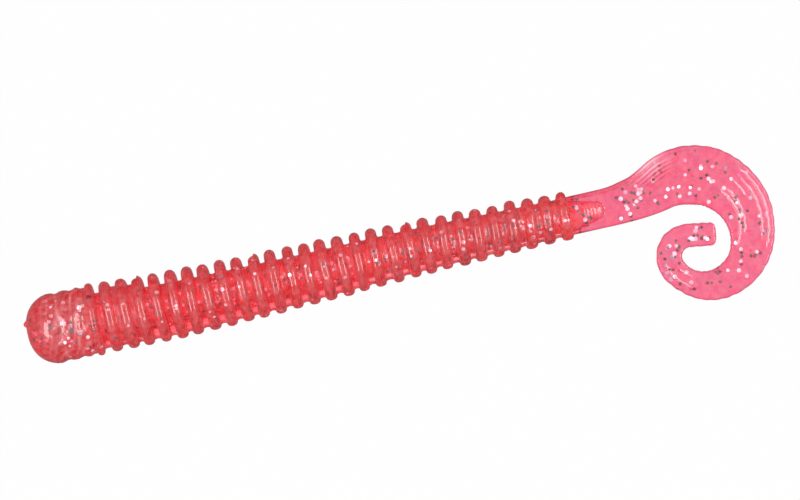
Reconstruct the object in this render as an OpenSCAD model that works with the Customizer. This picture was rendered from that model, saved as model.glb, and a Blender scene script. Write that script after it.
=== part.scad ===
// Soft plastic worm for fishing: a ringed, tapering body with a flat curled tail, cast in one shot
// with silver and dark glitter. The moulding is cut into named stretches where it bends.
// Worked out with the tip of the gate nub at x = 0 and the body's axis along X, then set down on z = 0.

/* [Nose] */
// Length of the rounded nose, from its blunt front to its widest place
nose_len = 3.5; // [2.5:0.1:5]
// How much of the nose's tip is flat, measured as the depth taken off the round
nose_blunt = 0.12; // [0.02:0.02:0.4]
// Length that the trimmed gate nub stands out of the nose
nub_len = 0.3; // [0.1:0.05:0.8]
// Radius of the gate nub
nub_r = 0.35; // [0.2:0.05:0.6]
// Height of the gate nub above the body's axis
nub_y = 1.1; // [0:0.1:2]
// Number of shallow swells behind the nose
swell_count = 2; // [1:1:4]
// Distance from one swell to the next
swell_pitch = 1.78; // [1.4:0.02:2.4]
// Depth of the notch between two swells
swell_depth = 0.2; // [0.05:0.05:0.5]
// Distance from the crest of the last swell to the first full ring
head_gap = 1.25; // [1:0.05:1.6]

/* [Ringed body] */
// Number of full rings
ring_count = 29; // [26:1:40]
// Distance from one ring to the next
ring_pitch = 2.0; // [1.7:0.05:2.6]
// Thickness of a ring along the body
ring_w = 1.24; // [0.8:0.02:1.4]
// Radius of the rings along the front of the body
front_r = 4.1; // [3.6:0.05:5.5]
// Radius of the last ring
rear_r = 2.8; // [2.5:0.05:3.4]
// Number of rings at the front that share one radius
even_rings = 5; // [2:1:12]
// Radius of the core along the front of the body
core_front_r = 2.65; // [2.2:0.05:2.9]
// Radius of the core at the last ring
core_rear_r = 2.1; // [1.8:0.05:2.2]
// Number of rings at the front that stand on the collar
collar_rings = 4; // [2:1:8]
// Radius of the collar, the thicker core behind the nose
collar_r = 3.25; // [2.9:0.05:3.4]

/* [Keel] */
// Thickness of the keel, the web that joins the rings along the belly
keel_t = 0.8; // [0.5:0.05:1.2]
// Distance from the axis to the keel's edge along the front of the body
keel_front = 3.5; // [3.1:0.05:3.6]
// Distance from the axis to the keel's edge at the last ring
keel_rear = 2.2; // [2.1:0.05:2.5]
// How much further out the keel reaches where it meets a ring
keel_flare = 0.3; // [0.05:0.05:0.4]

/* [Tongue] */
// How far the tongue and the tail start towards the belly, off the body's axis
tail_drop = 0.15; // [0:0.05:0.3]
// Length of the core's end that runs out inside the tail stalk
tongue_len = 4.2; // [3:0.1:5]
// Radius of the tongue where it leaves the last ring
tongue_r = 1.9; // [1.4:0.05:2.1]
// Radius of the tongue's round end
tongue_end_r = 1.2; // [0.5:0.05:1.4]

/* [Tail path] */
// Straight run of the stalk
stalk_len = 4.1; // [3:0.1:6]
// Radius of the lift, where the blade swings up from the body's line
lift_r = 19.3; // [15:0.1:26]
// Angle turned in the lift
lift_turn = 21; // [10:1:30]
// Radius of the crown, where the blade turns over
crown_r = 6.9; // [6:0.1:9]
// Angle turned in the crown
crown_turn = 50; // [40:1:60]
// Radius of the far side
far_r = 7.2; // [6.2:0.1:9]
// Angle turned on the far side
far_turn = 72; // [60:1:80]
// Radius of the heel, at the bottom of the curl
heel_r = 5.85; // [5.2:0.05:7.2]
// Angle turned at the heel
heel_turn = 69; // [60:1:75]
// Radius of the near side
near_r = 4.7; // [4.2:0.1:5.8]
// Angle turned on the near side
near_turn = 78; // [70:1:84]
// Radius of the hook, the tightest place of the curl
hook_r = 2.45; // [2.2:0.05:3]
// Angle turned in the hook
hook_turn = 121; // [100:1:124]
// Straight run of the tip
tip_len = 3.1; // [2:0.1:3.8]

/* [Tail section] */
// Width of the blade at the stalk
stalk_w = 4.4; // [3.8:0.1:5.4]
// Width of the blade at the crown
crown_w = 7.0; // [5.6:0.1:8.4]
// Width of the blade where the hook starts
hook_w = 2.9; // [2.3:0.1:3.6]
// Width of the blade at its tip
tip_w = 2.7; // [2.2:0.1:3.2]
// Thickness of the blade at the stalk
stalk_t = 1.4; // [1.1:0.05:1.8]
// Thickness of the blade at its tip
tip_t = 1.2; // [0.75:0.05:1.4]
// Width of the thicker rim along the blade's outer edge
rim_w = 0.5; // [0.3:0.05:0.7]
// Height that the rim stands out of the blade's faces
rim_h = 0.22; // [0:0.02:0.4]
// Radius of the tip's two corners
tip_corner = 0.7; // [0.3:0.1:1]

/* [Soft stretches] */
// Plain stalk between the tongue's end and the first soft strip
hinge_gap = 0.3; // [0.1:0.1:1]
// Length of the soft strip between the stalk and the blade
hinge_len = 1.8; // [1.5:0.1:2.4]
// Length of the soft strip at the crown
crown_len = 2.6; // [2.4:0.1:3.4]
// Length of the soft strip at the heel
heel_len = 1.9; // [1.6:0.1:2.6]

/* [Glitter] */
// Width of a flake across its flats
flake_w = 0.5; // [0.3:0.05:0.55]
// Thickness of a flake
flake_t = 0.05; // [0.03:0.01:0.08]
// Distance along the worm from one flake to the next of the other kind
flake_step = 0.62; // [0.6:0.02:1.2]
// Least plastic left over a flake
flake_cover = 0.12; // [0.08:0.02:0.2]

/* [Hidden] */
$fn = 96;

// Colours of the plastic where it is thick and where it is thin, and of the two kinds of glitter
coral = "#e0484a";
pink = "#ff6c92";
silver = "#dfe3ea";
dark = "#2a2226";

// Rings that bend, counted from the nose, at these shares of the row
neck_share = 0.17;
front_share = 0.41;
rear_share = 0.66;
stern_share = 0.9;
neck_ring = round(ring_count * neck_share);
front_ring = round(ring_count * front_share);
rear_ring = round(ring_count * rear_share);
stern_ring = round(ring_count * stern_share);

// Places along the axis
nose_x = nub_len;
swell_start = nose_x + nose_len + swell_pitch / 2 - swell_depth;
first_ring_x = swell_start + (swell_count - 0.5) * swell_pitch + head_gap;
last_ring_x = first_ring_x + (ring_count - 1) * ring_pitch;
even_x = first_ring_x + (even_rings - 1) * ring_pitch;
tail_x = last_ring_x + ring_w / 2;

function ring_x(i) = first_ring_x + (i - 1) * ring_pitch;
function front_flank(i) = ring_x(i) - ring_w / 2;
function rear_flank(i) = ring_x(i) + ring_w / 2;
function taper(x) = max(0, (x - even_x) / (last_ring_x - even_x));
function ring_r(i) = front_r + (rear_r - front_r) * taper(ring_x(i));
function core_r(x) = core_front_r + (core_rear_r - core_front_r) * taper(x);
function keel_edge(x) = keel_front + (keel_rear - keel_front) * taper(x);
rim_flat = 0.04;
groove_wall = 0.05;
function floor_r(i) = i <= collar_rings ? collar_r : core_r(ring_x(i));
function rim_round(i) = min((ring_w - rim_flat) / 2, ring_r(i) - floor_r(i) - groove_wall);

// The tail's path: its runs in order, each [length, radius, turn], where a straight run has radius 0
function arc_len(r, turn) = r * abs(turn) * PI / 180;
RUNS = [
    [stalk_len, 0, 0],
    [arc_len(lift_r, lift_turn), lift_r, lift_turn],
    [arc_len(crown_r, crown_turn), crown_r, -crown_turn],
    [arc_len(far_r, far_turn), far_r, -far_turn],
    [arc_len(heel_r, heel_turn), heel_r, -heel_turn],
    [arc_len(near_r, near_turn), near_r, -near_turn],
    [arc_len(hook_r, hook_turn), hook_r, -hook_turn],
    [tip_len, 0, 0]
];
function run_end(k) = k < 0 ? 0 : run_end(k - 1) + RUNS[k][0];
tail_len = run_end(len(RUNS) - 1);

// A place on the path is [x, y, heading]. advance() carries it a distance d along one run.
function advance(p, run, d) =
    run[1] == 0
        ? [p[0] + d * cos(p[2]), p[1] + d * sin(p[2]), p[2]]
        : let (side = sign(run[2]), turn = run[2] * d / run[0])
          [p[0] + side * run[1] * (sin(p[2] + turn) - sin(p[2])),
           p[1] - side * run[1] * (cos(p[2] + turn) - cos(p[2])),
           p[2] + turn];
function walk(s, k = 0, p = [tail_x, -tail_drop, 0]) =
    s <= RUNS[k][0] || k == len(RUNS) - 1
        ? advance(p, RUNS[k], s)
        : walk(s - RUNS[k][0], k + 1, advance(p, RUNS[k], RUNS[k][0]));

// Where the soft strips lie along the path, each as [start, end]
hinge_start = tongue_len + hinge_gap;
hinge_span = [hinge_start, hinge_start + hinge_len];
crown_span = [run_end(2) - crown_len / 2, run_end(2) + crown_len / 2];
heel_span = [run_end(4) - heel_len / 2, run_end(4) + heel_len / 2];

// Width and thickness of the blade along the path. It is widest where the crown's soft strip starts, and the
// hook's width starts at this share of the near side.
hook_share = 0.7;
widest_s = crown_span[0];
hook_s = run_end(4) + (run_end(5) - run_end(4)) * hook_share;
function smooth(t) = let (c = min(1, max(0, t))) c * c * (3 - 2 * c);
function body_width(s) =
    s < widest_s ? stalk_w + (crown_w - stalk_w) * smooth((s - stalk_len) / (widest_s - stalk_len))
    : s < hook_s ? crown_w + (hook_w - crown_w) * (s - widest_s) / (hook_s - widest_s)
    : hook_w + (tip_w - hook_w) * (s - hook_s) / (tail_len - hook_s);
function corner_cut(s) =
    let (into = max(0, s - tail_len + tip_corner)) tip_corner - sqrt(max(0, tip_corner ^ 2 - into ^ 2));
function blade_w(s) = body_width(s) - 2 * corner_cut(s);
function blade_t(s) = stalk_t + (tip_t - stalk_t) * s / tail_len;
function rim_rise(s) = rim_h * (1 - smooth((s - run_end(0)) / (run_end(2) - run_end(0))));

// The tongue swells out of both faces of the stalk: its radius at s, and its height at v from the centre
tongue_cone = tongue_len - tongue_end_r;
function tongue_radius(s) =
    s < tongue_cone ? tongue_r + (tongue_end_r - tongue_r) * s / tongue_cone
    : sqrt(max(0, tongue_end_r ^ 2 - (s - tongue_cone) ^ 2));
function tongue_height(s, v) = sqrt(max(0, tongue_radius(s) ^ 2 - v ^ 2));

// Half a cross-section, as [distance across from the centre line, height], from the inner edge to the outer.
// Both edges are round, the outer one as a bead that is as wide as the rim and stands out by the rim's rise.
edge_share = 0.4;
EDGE_ANGLES = [15, 40, 65, 90];
BEAD_ANGLES = [120, 90, 65, 40, 15];
ACROSS = [-0.85, -0.6, -0.3, 0, 0.3, 0.6, 0.85];
function upper_edge(s) =
    let (w = blade_w(s) / 2, t = blade_t(s) / 2, bead_t = t + rim_rise(s),
         rim = min(rim_w, edge_share * w), bead_r = rim / 2)
    concat([for (a = EDGE_ANGLES) [-w + bead_r * (1 - cos(a)), t * sin(a)]],
           [for (c = ACROSS) let (v = c * (w - rim)) [v, max(t, tongue_height(s, v))]],
           [[w - rim, t]],
           [for (a = BEAD_ANGLES) [w - bead_r * (1 - cos(a)), max(a < 90 ? 0 : t, bead_t * sin(a))]]);
function section(s) =
    let (up = upper_edge(s), n = len(up))
    concat(up, [for (i = [n - 1:-1:0]) [up[i][0], -up[i][1]]]);
function placed(s) =
    let (p = walk(s))
    [for (q = section(s)) [p[0] - q[0] * sin(p[2]), p[1] + q[0] * cos(p[2]), q[1]]];

// The whole worm's box, which sets it down with its middle over the origin
path_step = 0.5;
edge_points = [for (s = [0:path_step:tail_len]) each placed(s)];
edge_x = [for (p = edge_points) p[0]];
edge_y = [for (p = edge_points) p[1]];
x_mid = (min(0, min(edge_x)) + max(edge_x)) / 2;
y_mid = (min(-front_r, min(edge_y)) + max(front_r, max(edge_y))) / 2;

module set_down() {
    translate([-x_mid, -y_mid, front_r]) children();
}

// A shape turned about the Z axis, laid along X from x
module laid_along(x) {
    translate([x, 0, 0]) rotate([0, 90, 0]) children();
}

// Core of the body between two planes across the axis: the collar, an even stretch and a long taper
module core(x0, x1) {
    intersection() {
        union() {
            laid_along(0) cylinder(h = ring_x(collar_rings), r = collar_r);
            laid_along(0) cylinder(h = even_x, r = core_front_r);
            laid_along(even_x)
                cylinder(h = last_ring_x - even_x + ring_pitch, r1 = core_front_r,
                         r2 = core_r(last_ring_x + ring_pitch));
        }
        translate([x0, -2 * front_r, -2 * front_r]) cube([x1 - x0, 4 * front_r, 4 * front_r]);
    }
}

// Keel along the belly: its foot inside ring i, and its web across the groove behind that ring, which is
// notched halfway to the next one
module keel_foot(i) {
    reach = keel_edge(ring_x(i)) + keel_flare;
    linear_extrude(keel_t, center = true)
        polygon([[front_flank(i), 0], [front_flank(i), -reach], [rear_flank(i), -reach], [rear_flank(i), 0]]);
}

module keel_web(i) {
    groove_x = ring_x(i) + ring_pitch / 2;
    linear_extrude(keel_t, center = true)
        polygon([[rear_flank(i), 0], [rear_flank(i), -keel_edge(ring_x(i)) - keel_flare],
                 [groove_x, -keel_edge(groove_x)],
                 [front_flank(i + 1), -keel_edge(ring_x(i + 1)) - keel_flare], [front_flank(i + 1), 0]]);
}

// One ring: a disc with a round rim, which is as full as the depth of the groove allows
module ring(i) {
    round_r = rim_round(i);
    laid_along(ring_x(i)) rotate_extrude() {
        translate([0, -ring_w / 2]) square([ring_r(i) - round_r, ring_w]);
        translate([0, round_r - ring_w / 2]) square([ring_r(i), ring_w - 2 * round_r]);
        for (side = [-1, 1])
            translate([ring_r(i) - round_r, side * (ring_w / 2 - round_r)]) circle(r = round_r);
    }
    keel_foot(i);
}

// A stretch of body from one ring to another, cut at their outer flanks
module ringed(first, last) {
    color(coral) set_down() {
        core(front_flank(first), rear_flank(last));
        for (i = [first:last]) ring(i);
        for (i = [first:last - 1]) keel_web(i);
    }
}

// A ring with the groove on each side of it, the soft place where the body bends
module joint_ring(i) {
    color(coral) set_down() {
        core(rear_flank(i - 1), front_flank(i + 1));
        ring(i);
        for (k = [i - 1:i]) keel_web(k);
    }
}

module nose() {
    round_len = nose_len + nose_blunt;
    swell_r = (swell_pitch ^ 2 / 4 + swell_depth ^ 2) / (2 * swell_depth);
    back_x = front_flank(1);
    shoulder_x = nose_x + nose_len + 2 * swell_depth;
    steps = 18;
    quarter = [for (k = [0:steps]) let (a = 90 * k / steps)
        [front_r * sin(a), nose_x + nose_len - round_len * cos(a)]];
    color(coral) set_down() {
        rotate([0, 90, 0]) rotate_extrude() intersection() {
            union() {
                polygon(concat(quarter, [[front_r - swell_depth, shoulder_x], [0, shoulder_x]]));
                translate([0, nose_x + nose_len / 2])
                    square([front_r - swell_depth, back_x - nose_x - nose_len / 2]);
                for (k = [0:swell_count - 1]) intersection() {
                    translate([front_r - swell_r, swell_start + (k + 0.5) * swell_pitch]) circle(r = swell_r);
                    translate([front_r / 2, nose_x]) square([front_r, back_x]);
                }
            }
            translate([0, nose_x]) square([2 * front_r, back_x - nose_x]);
        }
        translate([0, nub_y, 0]) laid_along(0) cylinder(h = nose_len / 2, r = nub_r);
    }
}

// A stretch of the tail blade as one loft, and the same with its colour and place
blade_step = 0.6;
tight_step = 0.4;
module loft(s0, s1, step) {
    n = max(2, ceil((s1 - s0) / step));
    side = len(section(s0));
    points = [for (k = [0:n]) each placed(s0 + (s1 - s0) * k / n)];
    faces = concat(
        [[for (j = [side - 1:-1:0]) j]],
        [[for (j = [0:side - 1]) n * side + j]],
        [for (k = [0:n - 1], j = [0:side - 1])
            [k * side + j, k * side + (j + 1) % side, (k + 1) * side + j]],
        [for (k = [0:n - 1], j = [0:side - 1])
            [k * side + (j + 1) % side, (k + 1) * side + (j + 1) % side, (k + 1) * side + j]]);
    polyhedron(points, faces, convexity = 6);
}

module blade(s0, s1, step = blade_step) {
    color(pink) set_down() loft(s0, s1, step);
}

module tail_stalk() {
    color(coral) set_down() loft(0, hinge_span[0], tight_step);
}

// Glitter. Flakes lie one step apart along the worm, silver and dark in turn, and their places across it and
// their tilts follow the golden ratio, so none touch.
golden = (sqrt(5) - 1) / 2;
flake_reach = flake_w / 2 / cos(30);
silver_kind = 0;
dark_kind = 1;
// Steps by which a flake's turn, tilt and depth go on from the last, as shares of their spans
turn_beat = 0.73;
tilt_beat = 0.37;
lean_beat = 0.43;
depth_beat = 0.29;
// Spans of the tilt, free in the thick body and nearly flat in the thin blade
body_tilt = 150;
blade_tilt = 14;
function fraction(t) = t - floor(t);

module flake(tilt, turn) {
    rotate([tilt, 0, turn]) cylinder(h = flake_t, r = flake_reach, center = true, $fn = 6);
}

module body_flakes(x0, x1, kind, tint) {
    room = x1 - x0 - 2 * flake_reach;
    color(tint) set_down() for (m = [kind:2:floor(room / flake_step)]) {
        x = x0 + flake_reach + m * flake_step;
        out = (core_r(x) - flake_reach - flake_cover) * sqrt(fraction(m * golden + x0));
        around = 360 * fraction(m * golden * golden + x0 * golden);
        translate([x, out * cos(around), out * sin(around)])
            flake(body_tilt * fraction(m * tilt_beat + x0), 360 * fraction(m * turn_beat));
    }
}

module blade_flakes(s0, s1, kind, tint) {
    room = s1 - s0 - 2 * flake_reach;
    edge = flake_reach + flake_cover + rim_w / 2;
    color(tint) set_down() for (m = [kind:2:floor(room / flake_step)]) {
        s = s0 + flake_reach + m * flake_step;
        p = walk(s);
        across = (body_width(s) - 2 * edge) * (fraction(m * golden + s0) - 0.5);
        room_z = blade_t(s) / 2 - flake_cover - flake_reach * sin(blade_tilt) - flake_t / 2;
        z = room_z * (2 * fraction(m * depth_beat) - 1);
        translate([p[0] - across * sin(p[2]), p[1] + across * cos(p[2]), z])
            flake(blade_tilt * (2 * fraction(m * lean_beat) - 1), 360 * fraction(m * turn_beat));
    }
}

nose();
ringed(1, neck_ring - 1);  // head_rings
joint_ring(neck_ring);  // neck_joint_ring
ringed(neck_ring + 1, front_ring - 1);  // shoulder_rings
joint_ring(front_ring);  // front_joint_ring
ringed(front_ring + 1, rear_ring - 1);  // middle_rings
joint_ring(rear_ring);  // rear_joint_ring
ringed(rear_ring + 1, stern_ring - 1);  // waist_rings
joint_ring(stern_ring);  // stern_joint_ring
ringed(stern_ring + 1, ring_count);  // stern_rings
tail_stalk();
blade(hinge_span[0], hinge_span[1]);  // tail_hinge_strip
blade(hinge_span[1], crown_span[0]);  // tail_blade
blade(crown_span[0], crown_span[1]);  // tail_crown_strip
blade(crown_span[1], heel_span[0]);  // tail_sweep
blade(heel_span[0], heel_span[1]);  // tail_heel_strip
blade(heel_span[1], tail_len, tight_step);  // tail_hook

body_flakes(nose_x + nose_len, rear_flank(neck_ring - 1), silver_kind, silver);  // head_silver_flakes
body_flakes(nose_x + nose_len, rear_flank(neck_ring - 1), dark_kind, dark);  // head_dark_flakes
body_flakes(front_flank(neck_ring + 1), rear_flank(front_ring - 1), silver_kind, silver);  // shoulder_silver_flakes
body_flakes(front_flank(neck_ring + 1), rear_flank(front_ring - 1), dark_kind, dark);  // shoulder_dark_flakes
body_flakes(front_flank(front_ring + 1), rear_flank(rear_ring - 1), silver_kind, silver);  // middle_silver_flakes
body_flakes(front_flank(front_ring + 1), rear_flank(rear_ring - 1), dark_kind, dark);  // middle_dark_flakes
body_flakes(front_flank(rear_ring + 1), rear_flank(stern_ring - 1), silver_kind, silver);  // waist_silver_flakes
body_flakes(front_flank(rear_ring + 1), rear_flank(stern_ring - 1), dark_kind, dark);  // waist_dark_flakes
body_flakes(front_flank(stern_ring + 1), rear_flank(ring_count), silver_kind, silver);  // stern_silver_flakes
body_flakes(front_flank(stern_ring + 1), rear_flank(ring_count), dark_kind, dark);  // stern_dark_flakes
blade_flakes(hinge_span[1], crown_span[0], silver_kind, silver);  // blade_silver_flakes
blade_flakes(hinge_span[1], crown_span[0], dark_kind, dark);  // blade_dark_flakes
blade_flakes(crown_span[1], heel_span[0], silver_kind, silver);  // sweep_silver_flakes
blade_flakes(crown_span[1], heel_span[0], dark_kind, dark);  // sweep_dark_flakes
blade_flakes(heel_span[1], tail_len - tip_corner, silver_kind, silver);  // hook_silver_flakes
blade_flakes(heel_span[1], tail_len - tip_corner, dark_kind, dark);  // hook_dark_flakes
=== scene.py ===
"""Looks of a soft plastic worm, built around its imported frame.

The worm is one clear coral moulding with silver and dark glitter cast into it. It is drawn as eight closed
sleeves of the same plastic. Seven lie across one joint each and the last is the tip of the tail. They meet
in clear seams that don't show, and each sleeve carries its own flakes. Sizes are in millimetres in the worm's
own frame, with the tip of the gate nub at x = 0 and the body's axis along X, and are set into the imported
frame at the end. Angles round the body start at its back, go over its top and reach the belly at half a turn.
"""

import logging
import math
from dataclasses import dataclass, field
from enum import Enum
from functools import reduce
from itertools import pairwise
from typing import NamedTuple

import bpy
import numpy as np
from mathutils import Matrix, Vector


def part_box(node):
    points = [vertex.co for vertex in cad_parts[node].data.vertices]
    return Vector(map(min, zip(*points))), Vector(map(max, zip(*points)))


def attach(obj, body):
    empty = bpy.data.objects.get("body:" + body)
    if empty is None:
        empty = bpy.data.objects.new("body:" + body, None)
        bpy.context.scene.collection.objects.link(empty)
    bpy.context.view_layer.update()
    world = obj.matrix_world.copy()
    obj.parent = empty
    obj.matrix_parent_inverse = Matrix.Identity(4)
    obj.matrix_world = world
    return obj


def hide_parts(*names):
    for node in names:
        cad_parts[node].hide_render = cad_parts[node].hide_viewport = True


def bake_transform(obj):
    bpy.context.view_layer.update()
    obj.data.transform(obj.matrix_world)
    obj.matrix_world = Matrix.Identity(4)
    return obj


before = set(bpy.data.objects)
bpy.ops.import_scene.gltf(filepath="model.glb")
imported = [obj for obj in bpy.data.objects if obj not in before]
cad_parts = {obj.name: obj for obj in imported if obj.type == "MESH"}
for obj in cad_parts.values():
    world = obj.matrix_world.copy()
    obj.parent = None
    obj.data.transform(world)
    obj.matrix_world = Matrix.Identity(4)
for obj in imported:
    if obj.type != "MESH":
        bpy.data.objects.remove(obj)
LOG = logging.getLogger("worm")
Colour = tuple[float, float, float]
Value = float | tuple[float, ...] | bpy.types.NodeSocket
WHITE: Colour = (1.0, 1.0, 1.0)
MM = 0.001  # a millimetre in the frame's metres
SEAM_GAP = 0.01  # gap between two sleeves
TAIL_BASE = 1000.0  # lengthwise position of the tail's start, past all of the body's


def smooth(t: np.ndarray) -> np.ndarray:
    """Rise from 0 to 1 as three t squared less two t cubed, held outside 0..1.

    Args:
        t: where along the rise, 0 at its start and 1 at its end.

    Returns:
        The height of the rise at t.
    """
    c = np.clip(t, 0.0, 1.0)
    return c * c * (3.0 - 2.0 * c)


def window(s: np.ndarray, start: float, end: float, rise: float, fall: float) -> np.ndarray:
    """1 between start and end, 0 outside, with a smooth rise after the start and fall before the end."""
    return smooth((s - start) / rise) * smooth((end - s) / fall)


def bell(x: np.ndarray, width: float) -> np.ndarray:
    """A bell of height 1: e to the power of minus the square of x over the width."""
    return np.exp(-(x / width) ** 2)


def soft_max(a: np.ndarray, b: np.ndarray, k: float) -> np.ndarray:
    """The larger of two heights with the crease between them rounded: half of a + b + root((a - b)^2 + k^2).

    Args:
        a: first height.
        b: second height.
        k: how wide the rounding is.

    Returns:
        The rounded larger height.
    """
    return 0.5 * (a + b + np.sqrt((a - b) ** 2 + k * k))


def soft_min(a: np.ndarray, b: np.ndarray, k: float) -> np.ndarray:
    """The smaller of two heights, rounded as soft_max rounds the larger."""
    return -soft_max(-a, -b, k)


def quarter_turn(count: int) -> np.ndarray:
    """Even angles from 0 to a quarter of a turn, as a column."""
    return np.radians(np.linspace(0, 90, count))[:, None]


def wrapped_quads(n_rows: int, n_cols: int, outward: bool) -> np.ndarray:
    """Faces of a grid whose last column joins its first.

    Args:
        n_rows: number of rows.
        n_cols: number of columns.
        outward: True if along-the-row crossed with around-the-column points out of the surface.

    Returns:
        Corner numbers, shaped (faces, 4).
    """
    i, j = np.meshgrid(np.arange(n_rows - 1), np.arange(n_cols), indexing="ij")
    k = (j + 1) % n_cols
    a, b, c, d = i * n_cols + j, i * n_cols + k, (i + 1) * n_cols + k, (i + 1) * n_cols + j
    order = (a, d, c, b) if outward else (a, b, c, d)
    return np.stack(order, axis=-1).reshape(-1, 4)


def link_mesh(name: str, points: np.ndarray, faces: list[list[int]], finish: bpy.types.Material
              ) -> bpy.types.Object:
    """Make a mesh object and put it in the scene.

    Args:
        name: name of the object and of its mesh.
        points: its points in frame metres, shaped (n, 3).
        faces: corner numbers of each face.
        finish: its material.

    Returns:
        The new object, at the origin.
    """
    mesh = bpy.data.meshes.new(name)
    mesh.from_pydata(points.tolist(), [], faces)
    mesh.materials.append(finish)
    mesh.update()
    obj = bpy.data.objects.new(name, mesh)
    bpy.context.scene.collection.objects.link(obj)
    return obj


def store(mesh: bpy.types.Mesh, name: str, kind: str, domain: str, values: np.ndarray) -> None:
    """Keep one value for every point, edge or face of a mesh, under a name that materials can read."""
    mesh.attributes.new(name, kind, domain).data.foreach_set("value", values)


@dataclass(frozen=True)
class Graph:
    """A node tree with short ways to add to it.

    Attributes:
        tree: the tree itself.
    """

    tree: bpy.types.NodeTree

    def wire(self, node: bpy.types.Node, inputs: dict[str | int, Value]) -> None:
        """Give a node its inputs.

        Args:
            node: the node.
            inputs: what each input gets, by its name or number: an output of another node, or a constant.
        """
        for key, value in inputs.items():
            if isinstance(value, bpy.types.NodeSocket):
                self.tree.links.new(value, node.inputs[key])
            else:
                node.inputs[key].default_value = value

    def add(self, kind: str, inputs: dict[str | int, Value] | None = None, **options: str) -> bpy.types.Node:
        """Add a node.

        Args:
            kind: its type, as Blender names it after ShaderNode.
            inputs: what its inputs get.
            options: settings of the node itself, such as its operation.

        Returns:
            The new node.
        """
        node = self.tree.nodes.new(f"ShaderNode{kind}")
        for key, value in options.items():
            setattr(node, key, value)
        self.wire(node, inputs or {})
        return node

    def value_of(self, name: str) -> bpy.types.NodeSocket:
        """Output that reads the values that a mesh keeps under a name."""
        return self.add("Attribute", attribute_name=name).outputs["Fac"]

    def math(self, operation: str, a: Value, b: Value) -> bpy.types.NodeSocket:
        """Output of a sum, a product or the like of two values."""
        return self.add("Math", {0: a, 1: b}, operation=operation).outputs[0]

    def scale(self, value: Value, source: tuple[float, float], target: tuple[float, float]
              ) -> bpy.types.NodeSocket:
        """Output that goes over the target range, evenly, while a value goes over the source range."""
        ends = dict(zip(("From Min", "From Max", "To Min", "To Max"), (*source, *target)))
        return self.add("MapRange", {"Value": value, **ends}).outputs["Result"]

    def noise(self, coords: Value, scale: float, detail: float = 2.0) -> bpy.types.NodeSocket:
        """Output of a noise with so many patches in a metre, broken up as finely as the detail says."""
        return self.add("TexNoise", {"Vector": coords, "Scale": scale, "Detail": detail}).outputs["Fac"]

    def mix(self, factor: Value, a: Value, b: Value) -> bpy.types.NodeSocket:
        """Colour that goes from a to b while the factor goes from 0 to 1."""
        return self.add("Mix", {"Factor": factor, "A": a, "B": b}, data_type="RGBA").outputs["Result"]

    def blend(self, factor: Value, a: Value, b: Value) -> bpy.types.NodeSocket:
        """Shader that goes from a to b while the factor goes from 0 to 1."""
        return self.add("MixShader", {"Fac": factor, 1: a, 2: b}).outputs["Shader"]


class Glitter(Enum):
    """The two kinds of flake."""

    SILVER = "silver"
    DARK = "dark"


@dataclass(frozen=True)
class Seat:
    """Where the worm's own millimetres lie in the frame.

    Attributes:
        origin: frame position, in metres, of the gate nub's tip on the body's axis.
    """

    origin: np.ndarray

    @classmethod
    def from_frame(cls) -> "Seat":
        """Find the seat from the nose, whose box is round about the axis and starts at the nub's tip."""
        low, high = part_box("nose")
        return cls(np.array([low.x, (low.y + high.y) / 2, (low.z + high.z) / 2]))

    def place(self, points: np.ndarray) -> np.ndarray:
        """Turn worm millimetres into frame metres."""
        return self.origin + np.asarray(points) * MM


@dataclass
class Shell:
    """A closed surface on a grid of rows along the worm and columns around it.

    Attributes:
        rows: points of the grid, shaped (rows, columns, 3), in worm millimetres.
        lines: how strongly a line crosses each point of the grid, shaped (rows, columns), 1 for a dark one
            and -1 for a pale one.
        quads: corner numbers of the four-sided faces.
        tris: corner numbers of the three-sided faces.
        extra: points after the grid's own, such as the middles of caps.
        seam_quads: how many quads at the end of quads lie in clear seams.
        seam_tris: how many tris at the end of tris lie in clear seams.
    """

    rows: np.ndarray
    lines: np.ndarray
    quads: np.ndarray
    tris: np.ndarray = field(default_factory=lambda: np.zeros((0, 3), int))
    extra: np.ndarray = field(default_factory=lambda: np.zeros((0, 3)))
    seam_quads: int = 0
    seam_tris: int = 0

    def piece(self, name: str, seat: Seat, finish: bpy.types.Material) -> bpy.types.Object:
        """Make the mesh object.

        Args:
            name: name of the piece.
            seat: where worm millimetres lie in the frame.
            finish: material of the piece.

        Returns:
            The new object, with smooth faces, a seam value on each face, and sharp edges round the seams.
        """
        points = np.concatenate([self.rows.reshape(-1, 3), self.extra])
        piece = link_mesh(name, seat.place(points), self.quads.tolist() + self.tris.tolist(), finish)
        mesh = piece.data
        seam = np.zeros(len(self.quads) + len(self.tris), np.float32)
        seam[len(self.quads) - self.seam_quads:len(self.quads)] = 1.0
        seam[len(seam) - self.seam_tris:] = 1.0
        drawn = np.zeros(len(points), np.float32)
        drawn[:self.lines.size] = self.lines.ravel()
        store(mesh, "seam", "FLOAT", "FACE", seam)
        store(mesh, "line", "FLOAT", "POINT", drawn)
        store(mesh, "sharp_edge", "BOOLEAN", "EDGE", self._borders(mesh, seam))
        mesh.polygons.foreach_set("use_smooth", np.ones(len(seam), bool))
        mesh.update()
        return piece

    def _borders(self, mesh: bpy.types.Mesh, seam: np.ndarray) -> np.ndarray:
        """Find the edges round the seams.

        Args:
            mesh: the shell's mesh.
            seam: 1 for each of its faces that lies in a seam.

        Returns:
            True for each edge with just one of its two faces in a seam.
        """
        edge = np.zeros(len(mesh.loops), np.int32)
        mesh.loops.foreach_get("edge_index", edge)
        corner = np.repeat(seam, [4] * len(self.quads) + [3] * len(self.tris))
        return np.bincount(edge, corner, len(mesh.edges)) == 1


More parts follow.
